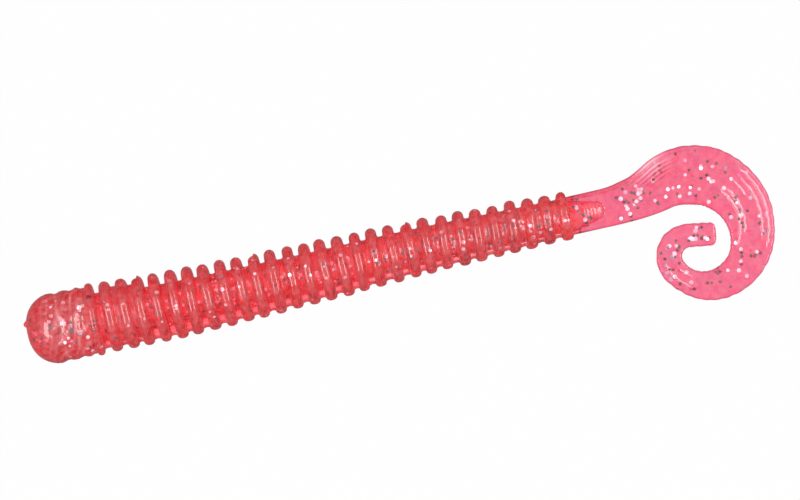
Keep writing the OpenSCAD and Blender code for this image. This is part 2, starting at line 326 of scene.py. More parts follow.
@dataclass(frozen=True)
class Stroke:
    """A narrow bell across its own course: a bead on a surface, or a line drawn on it.

    Attributes:
        height: how far the bead stands out, or how dark the line is, 1 for the darkest and -1 for the palest.
        width: distance from its middle at which it has sunk to about a third.
        at: where its middle lies across the course.
    """

    height: float
    width: float
    at: float = 0.0

    def over(self, d: np.ndarray) -> np.ndarray:
        """Its height at distances d across the course."""
        return self.height * bell(d - self.at, self.width)


@dataclass(frozen=True)
class Bulge:
    """A stretch that stands out, with a smooth rise and a smooth fall.

    Attributes:
        height: how far it stands out.
        start: where it starts.
        end: where it ends.
        rise: length of its rise.
        fall: length of its fall.
    """

    height: float
    start: float
    end: float
    rise: float
    fall: float

    def at(self, s: np.ndarray) -> np.ndarray:
        """How far it stands out at s."""
        return self.height * window(s, self.start, self.end, self.rise, self.fall)


@dataclass(frozen=True)
class Scallops:
    """Uneven waves along an edge.

    They are the arches of a sine. Its beat drifts to and fro along the edge, and its size changes.

    Attributes:
        depth: how deep they are at most.
        length: mean length of one arch.
        start: where they start along the path, after the rim.
        rise: length over which they grow.
        drift: how far the beat drifts, in radians.
        drift_rate: how fast it drifts, in radians per millimetre.
        change: share of the size that changes.
        change_rate: how fast it changes, in radians per millimetre.
        level: share of an arch that stands inside the plain edge.
    """

    depth: float = 0.09
    length: float = 1.05
    start: float = 11.0
    rise: float = 4.0
    drift: float = 0.9
    drift_rate: float = 0.71
    change: float = 0.3
    change_rate: float = 1.37
    level: float = 0.6

    def at(self, s: np.ndarray, phase: float) -> np.ndarray:
        """How far the edge stands out.

        Args:
            s: distance along the path.
            phase: where the beat starts, in radians.

        Returns:
            The distance from the plain edge at each s.
        """
        beat = s * math.pi / self.length + self.drift * np.sin(self.drift_rate * s + phase) + phase
        size = 1 - self.change + self.change * np.sin(self.change_rate * s + 2.0 * phase)
        return self.depth * smooth((s - self.start) / self.rise) * size * (np.abs(np.sin(beat)) - self.level)


@dataclass(frozen=True)
class FlowWave:
    """A slanting wave round the nose, left by the plastic's flow.

    It is the sine of an angle that grows round and along the axis, and that swings both ways as it does.

    Attributes:
        turns: waves in one turn round the axis.
        slant: radians in a millimetre along the axis.
        bend: how far it swings along the axis, in radians.
        bend_rate: how fast it swings there, in radians per millimetre.
        wobble: how far it swings round the axis, in radians.
        wobble_turns: swings in one turn.
    """

    turns: float
    slant: float
    bend: float = 0.0
    bend_rate: float = 0.0
    wobble: float = 0.0
    wobble_turns: float = 0.0

    def at(self, x: np.ndarray, phi: np.ndarray) -> np.ndarray:
        """The wave, from -1 to 1, at distance x along the axis and angle phi."""
        swing = self.bend * np.sin(self.bend_rate * x) + self.wobble * np.sin(self.wobble_turns * phi)
        return np.sin(self.turns * phi + self.slant * x + swing)


@dataclass(frozen=True)
class TailPath:
    """Middle line of the tail: a straight stalk, round runs, and a straight tip.

    Attributes:
        start: where the stalk leaves the last ring, in x and y.
        stalk: length of the stalk.
        tip: length of the tip.
        arcs: radius of each round run, and its turn in degrees.
    """

    start: tuple[float, float] = (65.03, -0.15)
    stalk: float = 4.1
    tip: float = 3.1
    arcs: tuple[tuple[float, float], ...] = (
        (19.3, 21.0), (6.9, -50.0), (7.2, -72.0), (5.85, -69.0), (4.7, -78.0), (2.45, -121.0))

    def runs(self) -> np.ndarray:
        """All runs as rows of length, radius and turn in radians, a straight one with radius 0."""
        turned = [(r * abs(math.radians(a)), r, math.radians(a)) for r, a in self.arcs]
        return np.array([(self.stalk, 0.0, 0.0), *turned, (self.tip, 0.0, 0.0)])

    def ends(self) -> np.ndarray:
        """Distance along the path at the end of each run."""
        return np.cumsum(self.runs()[:, 0])

    def place(self, s: np.ndarray) -> tuple[np.ndarray, np.ndarray, np.ndarray]:
        """Place and heading at distances along the path, from the start of the run that holds each.

        Args:
            s: distances from the path's start, any shape.

        Returns:
            x, y and heading in radians, each in the shape of s.
        """
        runs, ends = self.runs(), self.ends()
        starts = ends - runs[:, 0]
        heads = np.concatenate([[0.0], np.cumsum(runs[:, 2])])[:-1]
        steps = self._step(runs[:, 0], *runs.T, heads)
        x0, y0 = (np.cumsum([at, *step]) for at, step in zip(self.start, steps))
        k = np.clip(np.searchsorted(ends, s), 0, len(runs) - 1)
        d = s - starts[k]
        dx, dy = self._step(d, *np.moveaxis(runs[k], -1, 0), heads[k])
        return x0[k] + dx, y0[k] + dy, heads[k] + runs[k, 2] * (d / runs[k, 0])

    @staticmethod
    def _step(d: np.ndarray, length: np.ndarray, radius: np.ndarray, turn: np.ndarray, head: np.ndarray
              ) -> tuple[np.ndarray, np.ndarray]:
        """Move of points along a run.

        On a round run a point moves by the radius times the change of the heading's sine along X, and of its
        cosine along Y.

        Args:
            d: how far each point goes.
            length: length of its run.
            radius: radius of the run, 0 for a straight one.
            turn: turn of the run in radians.
            head: heading at the run's start.

        Returns:
            The moves along X and along Y.
        """
        part = turn * d / length
        side = np.sign(turn) * radius
        bent = np.not_equal(radius, 0.0)
        dx = np.where(bent, side * (np.sin(head + part) - np.sin(head)), d * np.cos(head))
        dy = np.where(bent, -side * (np.cos(head + part) - np.cos(head)), d * np.sin(head))
        return dx, dy


@dataclass(frozen=True)
class ToolMark:
    """A line that the mould's cutter left on the tail, parallel to the outer edge.

    Attributes:
        offset: distance from the outer edge.
        start: where it starts along the path.
        end: where it ends.
        groove: depth of the line itself.
        step: how much lower the face lies outside the line.
    """

    offset: float
    start: float
    end: float
    groove: float = 0.0
    step: float = 0.0

    def along(self, s: np.ndarray, fade: float) -> np.ndarray:
        """How fully it runs at s, from 0 to 1, when it comes and goes over the fade's length."""
        return window(s, self.start, self.end, fade, fade)

    def stepped(self) -> bool:
        """Whether it is more a step than a groove."""
        return self.step > self.groove


@dataclass(frozen=True)
class TailLines:
    """Lines and tints on the tail.

    A name that ends in _fade, _rise, _flank or _edge is the length over which a line or a tint comes or goes,
    and one that ends in _start or _end says where it does.

    Attributes:
        edge: line along both edges, painted shade of the outline.
        step: line along a stepped tool mark, painted shade of its step.
        groove: line along a grooved one.
        rim: lines on both sides of the rim, by the distance from the outer edge, painted shade of its slopes.
        terrace: tint of the face outside each stepped tool mark.
        foot: painted shade in the crease round the tongue's foot, by the tongue's height over the blade.
        tongue: tint of the tongue.
        crest: line on the crest of each ripple, by the distance from the middle.
        crest_from: sine of the ripple from which its line is drawn.
    """

    edge: Stroke = Stroke(0.75, 0.1)
    step: Stroke = Stroke(1.1, 0.07)
    groove: Stroke = Stroke(-1.0, 0.07)
    rim: tuple[Stroke, ...] = (Stroke(0.5, 0.07, 0.06), Stroke(1.0, 0.08, 0.52))
    rim_end: float = 10.0
    rim_fade: float = 8.0
    terrace: float = -0.18
    terrace_fade: float = 2.5
    terrace_edge: float = 0.2
    foot: Stroke = Stroke(0.8, 0.12)
    tongue: float = -0.06
    tongue_flank: float = 0.3
    tongue_fade: float = 0.2
    crest: Stroke = Stroke(-0.7, 0.6)
    crest_from: float = 0.2
    crest_start: float = 1.5
    crest_rise: float = 0.5


@dataclass(frozen=True)
class TailForm:
    """The flat curled tail with its tongue, rim, terraces and wavy edges.

    Widths end in _w, thicknesses in _t, radii in _r and distances along the path in _s. Lengths over which
    something comes or goes end in _fade.

    Attributes:
        blur: steps along the path over which the width is averaged.
        inner_share: how large the inner edge's waves are beside the outer edge's.
        inner_phase: where the inner edge's waves start, in radians.
        edge_e: width of the round along each edge.
        edge_share: largest share of the half width that this round takes.
        edge_angle: angle at which the round's first point lies, in degrees.
        rim: bead along the outer edge, which starts to sink at rim_end.
        tip_round: length over which the tip's face rounds off.
        tip_least: square of the share of the thickness that is left at the very tip.
        tongue_crease: width of the round at the tongue's foot.
        ripple: faint ripples on the tongue, by the distance along the path.
        under_share: how deep the tool marks are on the underside.
    """

    path: TailPath = TailPath()
    drawing: TailLines = TailLines()
    stalk_w: float = 4.4
    crown_w: float = 7.0
    hook_w: float = 2.9
    tip_w: float = 2.7
    stalk_t: float = 1.4
    tip_t: float = 1.2
    widest_s: float = 15.9
    hook_s: float = 37.77
    blur: tuple[float, ...] = (-1.0, -0.5, 0.0, 0.5, 1.0)
    inner_bulges: tuple[Bulge, ...] = (Bulge(0.14, 17.0, 30.5, 3.0, 3.0),)
    outer_bulges: tuple[Bulge, ...] = (
        Bulge(0.13, -2.0, 8.5, 2.0, 2.0), Bulge(0.14, 15.5, 25.5, 2.0, 3.0),
        Bulge(0.16, 37.5, 44.5, 2.0, 2.0))
    scallops: Scallops = Scallops()
    inner_share: float = 0.7
    inner_phase: float = 1.1
    edge_e: float = 0.3
    edge_share: float = 0.45
    edge_angle: float = 6.0
    rim: Stroke = Stroke(0.17, 0.13, 0.25)
    rim_end: float = 6.0
    rim_fade: float = 9.0
    tip_corner: float = 0.75
    tip_round: float = 0.3
    tip_least: float = 0.003
    tongue_len: float = 4.2
    tongue_r: float = 1.95
    tongue_end_r: float = 1.2
    tongue_end: float = 0.8
    tongue_crease: float = 0.06
    ripple: Bulge = Bulge(0.02, 1.4, 3.9, 0.6, 0.4)
    ripple_len: float = 0.4
    ripple_reach: float = 0.55
    mark_width: float = 0.1
    mark_fade: float = 1.6
    groove_width: float = 0.12
    under_share: float = 0.5
    row_step: float = 0.14
    across: int = 120
    edge_points: int = 8
    marks: tuple[ToolMark, ...] = (
        ToolMark(0.75, 7.0, 13.5, 0.0, 0.08), ToolMark(1.2, 7.6, 13.8, 0.0, 0.07),
        ToolMark(1.65, 8.2, 14.0, 0.0, 0.065), ToolMark(2.1, 8.8, 14.0, 0.0, 0.06),
        ToolMark(2.55, 9.6, 13.6, 0.0, 0.05),
        ToolMark(0.72, 19.0, 28.0, 0.1, 0.04), ToolMark(1.5, 19.5, 27.0, 0.1, 0.03),
        ToolMark(2.3, 19.0, 22.5, 0.08), ToolMark(3.5, 19.0, 26.5, 0.1), ToolMark(4.1, 18.5, 28.5, 0.1),
        ToolMark(1.05, 36.0, 41.0, 0.1), ToolMark(2.15, 36.5, 40.0, 0.08))

    def length(self) -> float:
        """Length of the tail along its path."""
        return float(self.path.ends()[-1])

    def _plain_width(self, s: np.ndarray) -> np.ndarray:
        """Width before smoothing: a soft rise to the crown, then two straight tapers.

        Args:
            s: distance along the path.

        Returns:
            The width at each s.
        """
        rise = smooth((s - self.path.stalk) / (self.widest_s - self.path.stalk))
        fall = np.clip((s - self.widest_s) / (self.hook_s - self.widest_s), 0, 1)
        end = np.clip((s - self.hook_s) / (self.length() - self.hook_s), 0, 1)
        return (self.stalk_w + (self.crown_w - self.stalk_w) * rise + (self.hook_w - self.crown_w) * fall
                + (self.tip_w - self.hook_w) * end)

    def width(self, s: np.ndarray) -> np.ndarray:
        """Width along the path, as the mean of the plain width over a short stretch."""
        return np.mean([self._plain_width(s + d) for d in self.blur], axis=0)

    def half_thickness(self, s: np.ndarray) -> np.ndarray:
        """Half the thickness of the blade along the path, a straight taper."""
        return 0.5 * (self.stalk_t + (self.tip_t - self.stalk_t) * s / self.length())

    def _beat(self, s: np.ndarray) -> np.ndarray:
        """Sine of the tongue's ripples along the path."""
        return np.sin(s * 2 * math.pi / self.ripple_len)

    def tongue(self, s: np.ndarray, v: np.ndarray) -> np.ndarray:
        """Height of the tongue: a cone with a round end, a circle across, with faint ripples on top.

        Args:
            s: distance along the path.
            v: distance across, outwards from the middle line.

        Returns:
            The height over the middle plane at each s and v, 0 beside the tongue.
        """
        cone = self.tongue_len - self.tongue_end
        rest = np.clip((s - cone) / self.tongue_end, 0, 1)
        r = np.where(s < cone, self.tongue_r + (self.tongue_end_r - self.tongue_r) * s / cone,
                     self.tongue_end_r * np.sqrt(1 - rest ** 2))
        wave = self.ripple.at(s) * self._beat(s)
        return np.sqrt(np.clip(r * r - v * v, 0, None)) + wave * bell(v, self.ripple_reach)

    def outline(self, s: np.ndarray) -> tuple[np.ndarray, np.ndarray]:
        """Edges of the blade: half the width, the bulges and the scallops, less the tip's round corners.

        Args:
            s: distance along the path.

        Returns:
            Distance from the middle line to the inner and to the outer edge at each s.
        """
        into = np.clip(s - self.length() + self.tip_corner, 0, self.tip_corner)
        cut = self.tip_corner - np.sqrt(self.tip_corner ** 2 - into ** 2)
        half = 0.5 * self.width(s) - cut
        inner = half + sum(bulge.at(s) for bulge in self.inner_bulges)
        outer = half + sum(bulge.at(s) for bulge in self.outer_bulges)
        waves = self.inner_share * self.scallops.at(s, self.inner_phase)
        return inner + waves, outer + self.scallops.at(s, 0.0)

    def _face(self, s: np.ndarray, v: np.ndarray, outer: np.ndarray, share: float) -> np.ndarray:
        """Height of a face over the middle plane, away from the edges.

        The blade's half thickness, less each tool mark's step outside its line and its narrow groove, plus
        the rim's bead, with the tongue raised out of it.

        Args:
            s: distance along the path.
            v: distance across, outwards from the middle line.
            outer: distance from the middle line to the outer edge.
            share: how much of the tool marks this face has.

        Returns:
            The height at each s and v.
        """
        d = outer - v
        height = self.half_thickness(s) * np.ones_like(v)
        for mark in self.marks:
            low = smooth((mark.offset - d) / self.mark_width + 0.5)
            line = bell(d - mark.offset, self.groove_width)
            height = height - share * mark.along(s, self.mark_fade) * (mark.step * low + mark.groove * line)
        left = 1.0 - smooth((s - self.rim_end) / self.rim_fade)
        return soft_max(height + left * self.rim.over(d), self.tongue(s, v), self.tongue_crease)

    def lines(self, s: np.ndarray, v: np.ndarray) -> np.ndarray:
        """How dark or pale a line is at s and v.

        Each line is a narrow bell across its own course. Dark ones follow stepped tool marks, both sides of
        the rim, the edges and the tongue's foot, and are painted shade of the steps, slopes, outline and
        crease there. Pale ones follow grooved tool marks and the tongue's ripples. The tongue and the
        terraces outside stepped marks have a pale tint.

        Args:
            s: distance along the path, shaped (rows, 1).
            v: distance across, shaped (rows, points).

        Returns:
            The lines at each point, 1 for the darkest and -1 for the palest.
        """
        look = self.drawing
        inner, outer = self.outline(s)
        d = outer - v
        # Painted shade: dark lines along the edges, the stepped tool marks, both sides of the rim and the
        # tongue's foot.
        drawn = look.edge.over(np.minimum(d, v + inner))
        for mark in self.marks:
            stroke = look.step if mark.stepped() else look.groove
            drawn = drawn + mark.along(s, self.mark_fade) * stroke.over(d - mark.offset)
            if mark.stepped():
                flank = smooth((mark.offset - d) / look.terrace_edge)
                drawn = drawn + look.terrace * mark.along(s, look.terrace_fade) * flank
        left = 1.0 - smooth((s - look.rim_end) / look.rim_fade)
        drawn = drawn + left * sum(line.over(d) for line in look.rim)
        crease = self.tongue(s, v) - self.half_thickness(s)
        on = smooth((self.tongue_len - s) / look.tongue_fade + 0.5)
        wave = smooth((self._beat(s) - look.crest_from) / (1 - look.crest_from))
        wave = wave * smooth((s - look.crest_start) / look.crest_rise)
        tint = (look.tongue + wave * look.crest.over(v)) * smooth(crease / look.tongue_flank)
        return np.clip(drawn + on * (look.foot.over(crease) + tint), -1.0, 1.0)

    def section(self, s: np.ndarray) -> np.ndarray:
        """Outline of the cross-section at each s, over the top from the inner edge and back underneath.

        Near each edge, and at the tip, the height falls as a quarter of an ellipse.

        Args:
            s: distances along the path, shaped (rows,).

        Returns:
            Distance across and height of each point, shaped (rows, points, 2).
        """
        s = np.asarray(s, float)[:, None]
        inner, outer = self.outline(s)
        e = np.minimum(self.edge_e, self.edge_share * np.minimum(inner, outer))
        angle = np.radians(np.linspace(self.edge_angle, 90, self.edge_points, endpoint=False))[None, :]
        t = np.linspace(0, 1, self.across)[None, :]
        v = np.concatenate([-inner + e * (1 - np.cos(angle)), (-inner + e) + (outer + inner - 2 * e) * t,
                            (outer - e * (1 - np.cos(angle)))[:, ::-1]], axis=1)
        d = np.minimum(v + inner, outer - v)
        fall = np.sqrt(np.clip(1 - (1 - np.minimum(d / e, 1)) ** 2, 0, 1))
        close = np.clip((self.length() - s) / self.tip_round, 0, 1)
        fall = fall * np.sqrt(np.clip(1 - (1 - close) ** 2, self.tip_least, 1))
        top = fall * self._face(s, v, outer, 1.0)
        under = -fall * self._face(s, v, outer, self.under_share)
        return np.stack([np.concatenate([v, v[:, ::-1]], 1), np.concatenate([top, under[:, ::-1]], 1)], -1)

    def point(self, s: np.ndarray, v: np.ndarray, z: np.ndarray) -> np.ndarray:
        """Worm coordinates of points at distances s along, v across and z above the middle plane."""
        x, y, h = self.path.place(s)
        return np.stack([x - v * np.sin(h), y + v * np.cos(h), z], -1)

    def sleeve(self, s0: float, s1: float, end_open: bool) -> Shell:
        """A stretch of the tail as a closed shell with a cap at each end.

        Args:
            s0: where it starts along the path, at a clear seam.
            s1: where it ends.
            end_open: True if its end is a clear seam too, False at the tip.

        Returns:
            The shell.
        """
        n = max(3, int(math.ceil((s1 - s0) / self.row_step)) + 1)
        s = np.linspace(s0 + SEAM_GAP / 2, s1 - (SEAM_GAP / 2 if end_open else 0.0), n)
        v, z = np.moveaxis(self.section(s), -1, 0)
        cols = v.shape[1]
        rows = self.point(np.repeat(s[:, None], cols, axis=1), v, z)
        k = np.arange(cols // 2 - 1)
        start = np.stack([k, k + 1, cols - 2 - k, cols - 1 - k], -1)
        end = start[:, ::-1] + (n - 1) * cols
        sides = wrapped_quads(n, cols, True)
        quads = np.concatenate([sides, start, end] if end_open else [sides, end, start])
        drawn = self.lines(s[:, None], v) * (z >= 0)
        return Shell(rows, drawn, quads, seam_quads=len(start) * (2 if end_open else 1))


@dataclass(frozen=True)
class NoseForm:
    """The blunt nose with two notches, faint waves of the plastic's flow, and the trimmed gate's nub.

    Attributes:
        length: length of the part that swells.
        rows: number of rows on that part.
        neck_rows: number of rows from there to the first groove.
        crowd: power by which the first rows lie closer to the front.
        swell: power of the distance left to the swelling part's end.
        blunt: power of the radius's share.
        notches: place and depth of each notch.
        join: length over which the nose runs into the first groove.
        oval: size of the slow wave round it, which has two crests.
        flow: size of the fine waves.
        cap: how far the middle of the front lies before the first row.
        nub_end: distance along the axis behind which no point is drawn out.
    """

    start: float = 0.3
    length: float = 3.35
    rows: int = 40
    neck_rows: int = 44
    crowd: float = 1.8
    swell: float = 1.8
    blunt: float = 0.4
    least_r: float = 0.04
    notches: tuple[tuple[float, float], ...] = ((4.44, 0.22), (6.19, 0.24))
    notch_width: float = 0.5
    notch_power: float = 1.6
    join: float = 0.5
    oval: float = 0.02
    oval_phase: float = 0.7
    flow: float = 0.012
    waves: tuple[FlowWave, ...] = (
        FlowWave(13, 8.0, bend=2.0, bend_rate=2.1), FlowWave(21, -9.0, wobble=1.5, wobble_turns=4))
    cap: float = 0.02
    nub_y: float = 1.2
    nub_z: float = 0.3
    nub_r: float = 0.32
    nub_h: float = 0.3
    nub_end: float = 2.0
    nub_fade: float = 0.8

    def profile(self, phi: np.ndarray, full_r: float, stop: float, stop_r: float
                ) -> tuple[np.ndarray, np.ndarray]:
        """Rows of the nose from its tip to the groove before the first ring.

        The front swells as a blunt power curve, and each notch between two swells takes off a narrow bell.

        Args:
            phi: angles of the columns.
            full_r: radius where it is widest.
            stop: distance along the axis of that groove.
            stop_r: radius of the groove's floor.

        Returns:
            Distance along the axis and radius, each shaped (rows, columns).
        """
        end = self.start + self.length
        t = np.linspace(0, 1, self.rows)[1:] ** self.crowd
        neck = np.linspace(end, stop, self.neck_rows)[1:-1]
        x = np.concatenate([self.start + self.length * t, neck])[:, None]
        share = np.clip((x - self.start) / self.length, 0, 1)
        r = full_r * (1 - (1 - share) ** self.swell) ** self.blunt + self.least_r
        for at, depth in self.notches:
            r = r - depth * np.exp(-np.abs((x - at) / self.notch_width) ** self.notch_power)
        r = r + (stop_r - r) * smooth((x - stop + self.join) / self.join)
        flow = self.flow * sum(wave.at(x, phi) for wave in self.waves)
        oval = self.oval * np.sin(2 * phi + self.oval_phase)
        return x * np.ones_like(phi), r + (oval + flow) * share

    def with_nub(self, rows: np.ndarray, lift: float) -> np.ndarray:
        """Draw the trimmed gate out of the nose's front as a bell-shaped stub.

        Args:
            rows: points of the nose, which are changed.
            lift: how far the nose lies off the straight axis.

        Returns:
            The same points.
        """
        away = np.hypot(rows[..., 1] - lift - self.nub_y, rows[..., 2] - self.nub_z) / self.nub_r
        face = smooth((self.nub_end - rows[..., 0]) / self.nub_fade)
        rows[..., 0] -= self.nub_h * face * np.exp(-away ** 4)
        return rows


@dataclass(frozen=True)
class RingChanges:
    """How the rings differ from their plain form and from one another.

    Most values are usual changes, which normal draws multiply, six for each ring. A _limit is the largest draw
    that counts, and the widths of the flash and the nicks are in radians.

    Attributes:
        wider: mean width beside the plain one.
        rise: how far the crests stand above the plain taper.
        waves: number of waves round a crest and their size, for each of the lean's two draws.
        fin: height of the flash along the back.
        nicks: number of each ring that is nicked at the back, and how deep.
        forward: mean shift towards the nose.
        hold: distance from the grooves over which lean and shift die out.
    """

    seed: int = 11
    wider: float = 1.05
    spread: float = 0.05
    spread_limit: float = 1.5
    first_width: float = 0.72
    rise: float = 0.03
    first_rise: float = 0.2
    swell: float = 0.007
    waves: tuple[tuple[int, float], ...] = ((3, 0.015), (7, 0.012))
    fin: float = 0.1
    fin_limit: float = 2.0
    fin_width: float = 0.045
    nicks: tuple[tuple[int, float], ...] = ((4, 0.5), (11, 0.6), (20, 0.25))
    nick_width: float = 0.3
    lean_y: float = 0.05
    lean_z: float = 0.04
    shift: float = 0.03
    forward: float = 0.02
    hold: float = 0.35


@dataclass(frozen=True)
class BodyLines:
    """Lines and tints on the body, by the angle from the belly where nothing else is said.

    Attributes:
        parting: line of the mould's parting along back and belly, by the sine of the angle; its darkness
        is also painted shade of the outline there.
        parting_gap: angle within which the grooves' floors along the belly have no parting line.
        shoulder: line along the shoulders of the rings' rims, by the distance along the axis; it is painted
        shade of the lobes' outline.
        lobe_from: cosine of the angle from which the shoulders' lines are drawn.
        groove: tint of the grooves.
        foot: line along the keel's foot.
        web: tint of the keel's faces.
        rim: line along the keel's rim, by the angle from it.
        notch: line inside the keel's rim, likewise.
        flank: painted shade, a dark tint of the flanks beside the belly.
        flow: wave of the nose's strokes.
        flow_dark: the wave's depth from which a dark stroke is drawn.
        flow_pale: the wave's height from which a pale one is.
        swell: line in each of the nose's notches, by the distance along the axis.
    """

    parting: Stroke = Stroke(0.9, 0.22)
    parting_gap: float = 0.5
    shoulder: Stroke = Stroke(0.8, 0.1)
    lobe_from: float = 0.55
    lobe_rise: float = 0.3
    ring_edge: float = 0.1
    ringed_rise: float = 0.3
    groove: float = -0.09
    foot: Stroke = Stroke(-0.8, 0.025)
    web: float = -0.3
    web_flank: float = 0.02
    rim: Stroke = Stroke(-0.5, 0.015, 0.04)
    notch: Stroke = Stroke(0.9, 0.02, -0.01)
    flank: Stroke = Stroke(0.1, 0.35, 0.9)
    flow: FlowWave = FlowWave(9, 5.0, 2.0, 2.1, 1.3, 3)
    flow_tint: float = 0.22
    flow_dark: float = 0.4
    flow_pale: float = 0.3
    flow_start: float = 2.0
    flow_rise: float = 1.5
    swell: Stroke = Stroke(-0.25, 0.2)


@dataclass(frozen=True)
class BodyForm:
    """The ringed body with its nose, core, collar and keel, as a radius over distance along and angle around.

    Radii end in _r and numbers of rows in _rows.

    Attributes:
        ring_w: plain width of a ring.
        even_rings: number of rings before the taper starts.
        collar_floors: radius of the groove before the first ring, and of each groove on the collar.
        keel_front: radius of the keel's edge before the taper.
        keel_rear: radius of the keel's edge at the last ring.
        keel_flare: how much further out the keel reaches at a ring.
        keel_reach: angle from the belly past which there is no keel.
        keel_corner: width of the rounds along the keel's edge.
        keel_foot: width of the rounds along its foot.
        belly_slim: share by which the rings are slimmer at the belly.
        round_share: largest share of a ring's depth that a groove's round takes.
        columns: start, end and step, in degrees, of each run of columns on one side.
        head_at: where along the axis half of the head's lift is done.
        crowd: how far the rings crowd towards the nose, up to crowd_end before the tail.
        lean: how the rear rings lean along the axis.
        floor_gap: height over the floor of the flat underneath.
    """

    tail: TailForm = TailForm()
    nose: NoseForm = NoseForm()
    changes: RingChanges = RingChanges()
    drawing: BodyLines = BodyLines()
    ring_count: int = 29
    ring_pitch: float = 2.0
    ring_w: float = 1.24
    first_ring: float = 8.41
    even_rings: int = 5
    front_r: float = 4.1
    rear_r: float = 2.8
    core_front_r: float = 2.65
    core_rear_r: float = 2.1
    collar_floors: tuple[float, ...] = (3.92, 3.02, 3.42, 3.26)
    keel_front: float = 3.55
    keel_rear: float = 2.28
    keel_t: float = 2.0
    keel_flare: float = 0.05
    keel_reach: float = 1.2
    keel_corner: float = 0.25
    keel_foot: float = 0.12
    belly_slim: Stroke = Stroke(0.08, 0.6, math.pi)
    groove_round: float = 0.22
    round_share: float = 0.28
    back_round: float = 0.5
    floor_rows: int = 4
    round_rows: int = 6
    rim_rows: int = 9
    back_rows: int = 4
    columns: tuple[tuple[float, float, float], ...] = (
        (0, 8, 1.0), (8, 148, 3.0), (148, 166, 0.6), (166, 180, 1.0))
    off_axis: float = 0.01
    head_lift: float = 0.42
    head_at: float = 13.5
    head_slope: float = 2.5
    arch: Stroke = Stroke(0.17, 9.0, 47.0)
    crowd: float = 0.54
    crowd_power: float = 0.75
    crowd_end: float = 0.6
    lean: Bulge = Bulge(0.15, 44.0, TailPath.start[0], 8.0, 1.2)
    floor_gap: float = 0.01

    def ring_x(self, i: int) -> float:
        """Place of ring i, counted from 1, along the axis."""
        return self.first_ring + (i - 1) * self.ring_pitch

    def taper(self, x: np.ndarray) -> np.ndarray:
        """Share of the taper done at x: none along the even rings, all at the last ring."""
        even, last = self.ring_x(self.even_rings), self.ring_x(self.ring_count)
        return np.clip((x - even) / (last - even), 0, None)

    def crest_r(self, x: np.ndarray) -> np.ndarray:
        """Plain radius of a ring at x."""
        return self.front_r + (self.rear_r - self.front_r) * self.taper(x)

    def core_r(self, x: np.ndarray) -> np.ndarray:
        """Radius of the core at x."""
        return self.core_front_r + (self.core_rear_r - self.core_front_r) * self.taper(x)

    def keel_r(self, x: np.ndarray) -> np.ndarray:
        """Radius of the keel's edge at x."""
        return self.keel_front + (self.keel_rear - self.keel_front) * self.taper(x)

    def sway(self, x: np.ndarray) -> np.ndarray:
        """How far the body lies off its straight axis at rest: the head lifts and the waist arches."""
        head = self.head_lift / (1 + np.exp((x - self.head_at) / self.head_slope))
        return self.off_axis + head + self.arch.over(x)

    def squeeze(self, x: np.ndarray, r: np.ndarray, phi: np.ndarray) -> np.ndarray:
        """How far points shift along the axis: the rings crowd to the nose a little, and lean at the rear.

        Args:
            x: distance along the axis.
            r: radius.
            phi: angle from the back.

        Returns:
            The shift of each point.
        """
        end = self.tail.path.start[0] - self.crowd_end
        t = np.clip((x - self.first_ring) / (end - self.first_ring), 0, 1)
        crowd = -self.crowd * np.sin(math.pi * t ** self.crowd_power)
        return crowd + self.lean.at(x) * np.cos(phi) * r / self.rear_r

    def angles(self) -> np.ndarray:
        """Angles of the columns from the back round by the top, closer along the keel and along the back."""
        side = np.radians(np.concatenate([np.arange(*run) for run in self.columns]))
        return np.concatenate([side, [math.pi], 2 * math.pi - side[:0:-1]])

    def groove_floor(self, x: float, groove: int, phi: np.ndarray, flare: float) -> np.ndarray:
        """Radius of a groove's floor: the core, or the collar, joined to the keel by a small round.

        The keel is the part of the ray inside a plate: its edge over the cosine of the angle from the belly,
        or its half thickness over the sine, whichever is less.

        Args:
            x: distance along the axis.
            groove: number of the ring in front of the groove.
            phi: angles of the columns.
            flare: how much further out the keel's edge reaches.

        Returns:
            The radius at each column.
        """
        core = self.collar_floors[groove] if groove < len(self.collar_floors) else self.core_r(x)
        delta = np.abs(phi - math.pi)
        edge = (self.keel_r(x) + flare) / np.clip(np.cos(delta), 0.2, 1)
        face = 0.5 * self.keel_t / np.clip(np.sin(delta), 0.02, 1)
        plate = np.where(delta < self.keel_reach, soft_min(edge, face, self.keel_corner), 0.0)
        return soft_max(core, plate, self.keel_foot)

    def half_ring(self, i: int, groove: int, crest: np.ndarray, width: float, phi: np.ndarray
                  ) -> tuple[np.ndarray, np.ndarray]:
        """Rows from the middle of a groove up to a ring's crest, as offsets from the ring and radii.

        The profile runs along the groove's floor, up a quarter round, up the flank, and over a quarter of an
        ellipse to the crest.

        Args:
            i: number of the ring.
            groove: number of the groove, 0 in front of the first ring.
            crest: radius of the crest at each column.
            width: width of the ring.
            phi: angles of the columns.

        Returns:
            Offset towards the groove and radius, each shaped (rows, columns).
        """
        side = 1 if groove == i else -1
        gap = self.ring_pitch / 2
        half = 0.5 * width * (1 - self.belly_slim.over(phi))
        middle = self.ring_x(i) + side * gap
        low = self.groove_floor(middle, groove, phi, 0.0)
        high = self.groove_floor(middle, groove, phi, self.keel_flare)
        depth = crest - high
        fillet = np.minimum(self.groove_round, self.round_share * depth)
        rim = np.minimum(half, depth - fillet)
        t = np.linspace(0, 1, self.floor_rows, endpoint=False)[:, None]
        q, top = quarter_turn(self.round_rows), quarter_turn(self.rim_rows)
        u = np.concatenate([gap + (half + fillet - gap) * t, half + fillet * (1 - np.sin(q)), half[None, :],
                            half * np.cos(top)])
        flank = (high + fillet + crest - rim) / 2
        r = np.concatenate([low + (high - low) * t ** 2, high + fillet * (1 - np.cos(q)), flank[None, :],
                            crest - rim + rim * np.sin(top)])
        return side * u, r

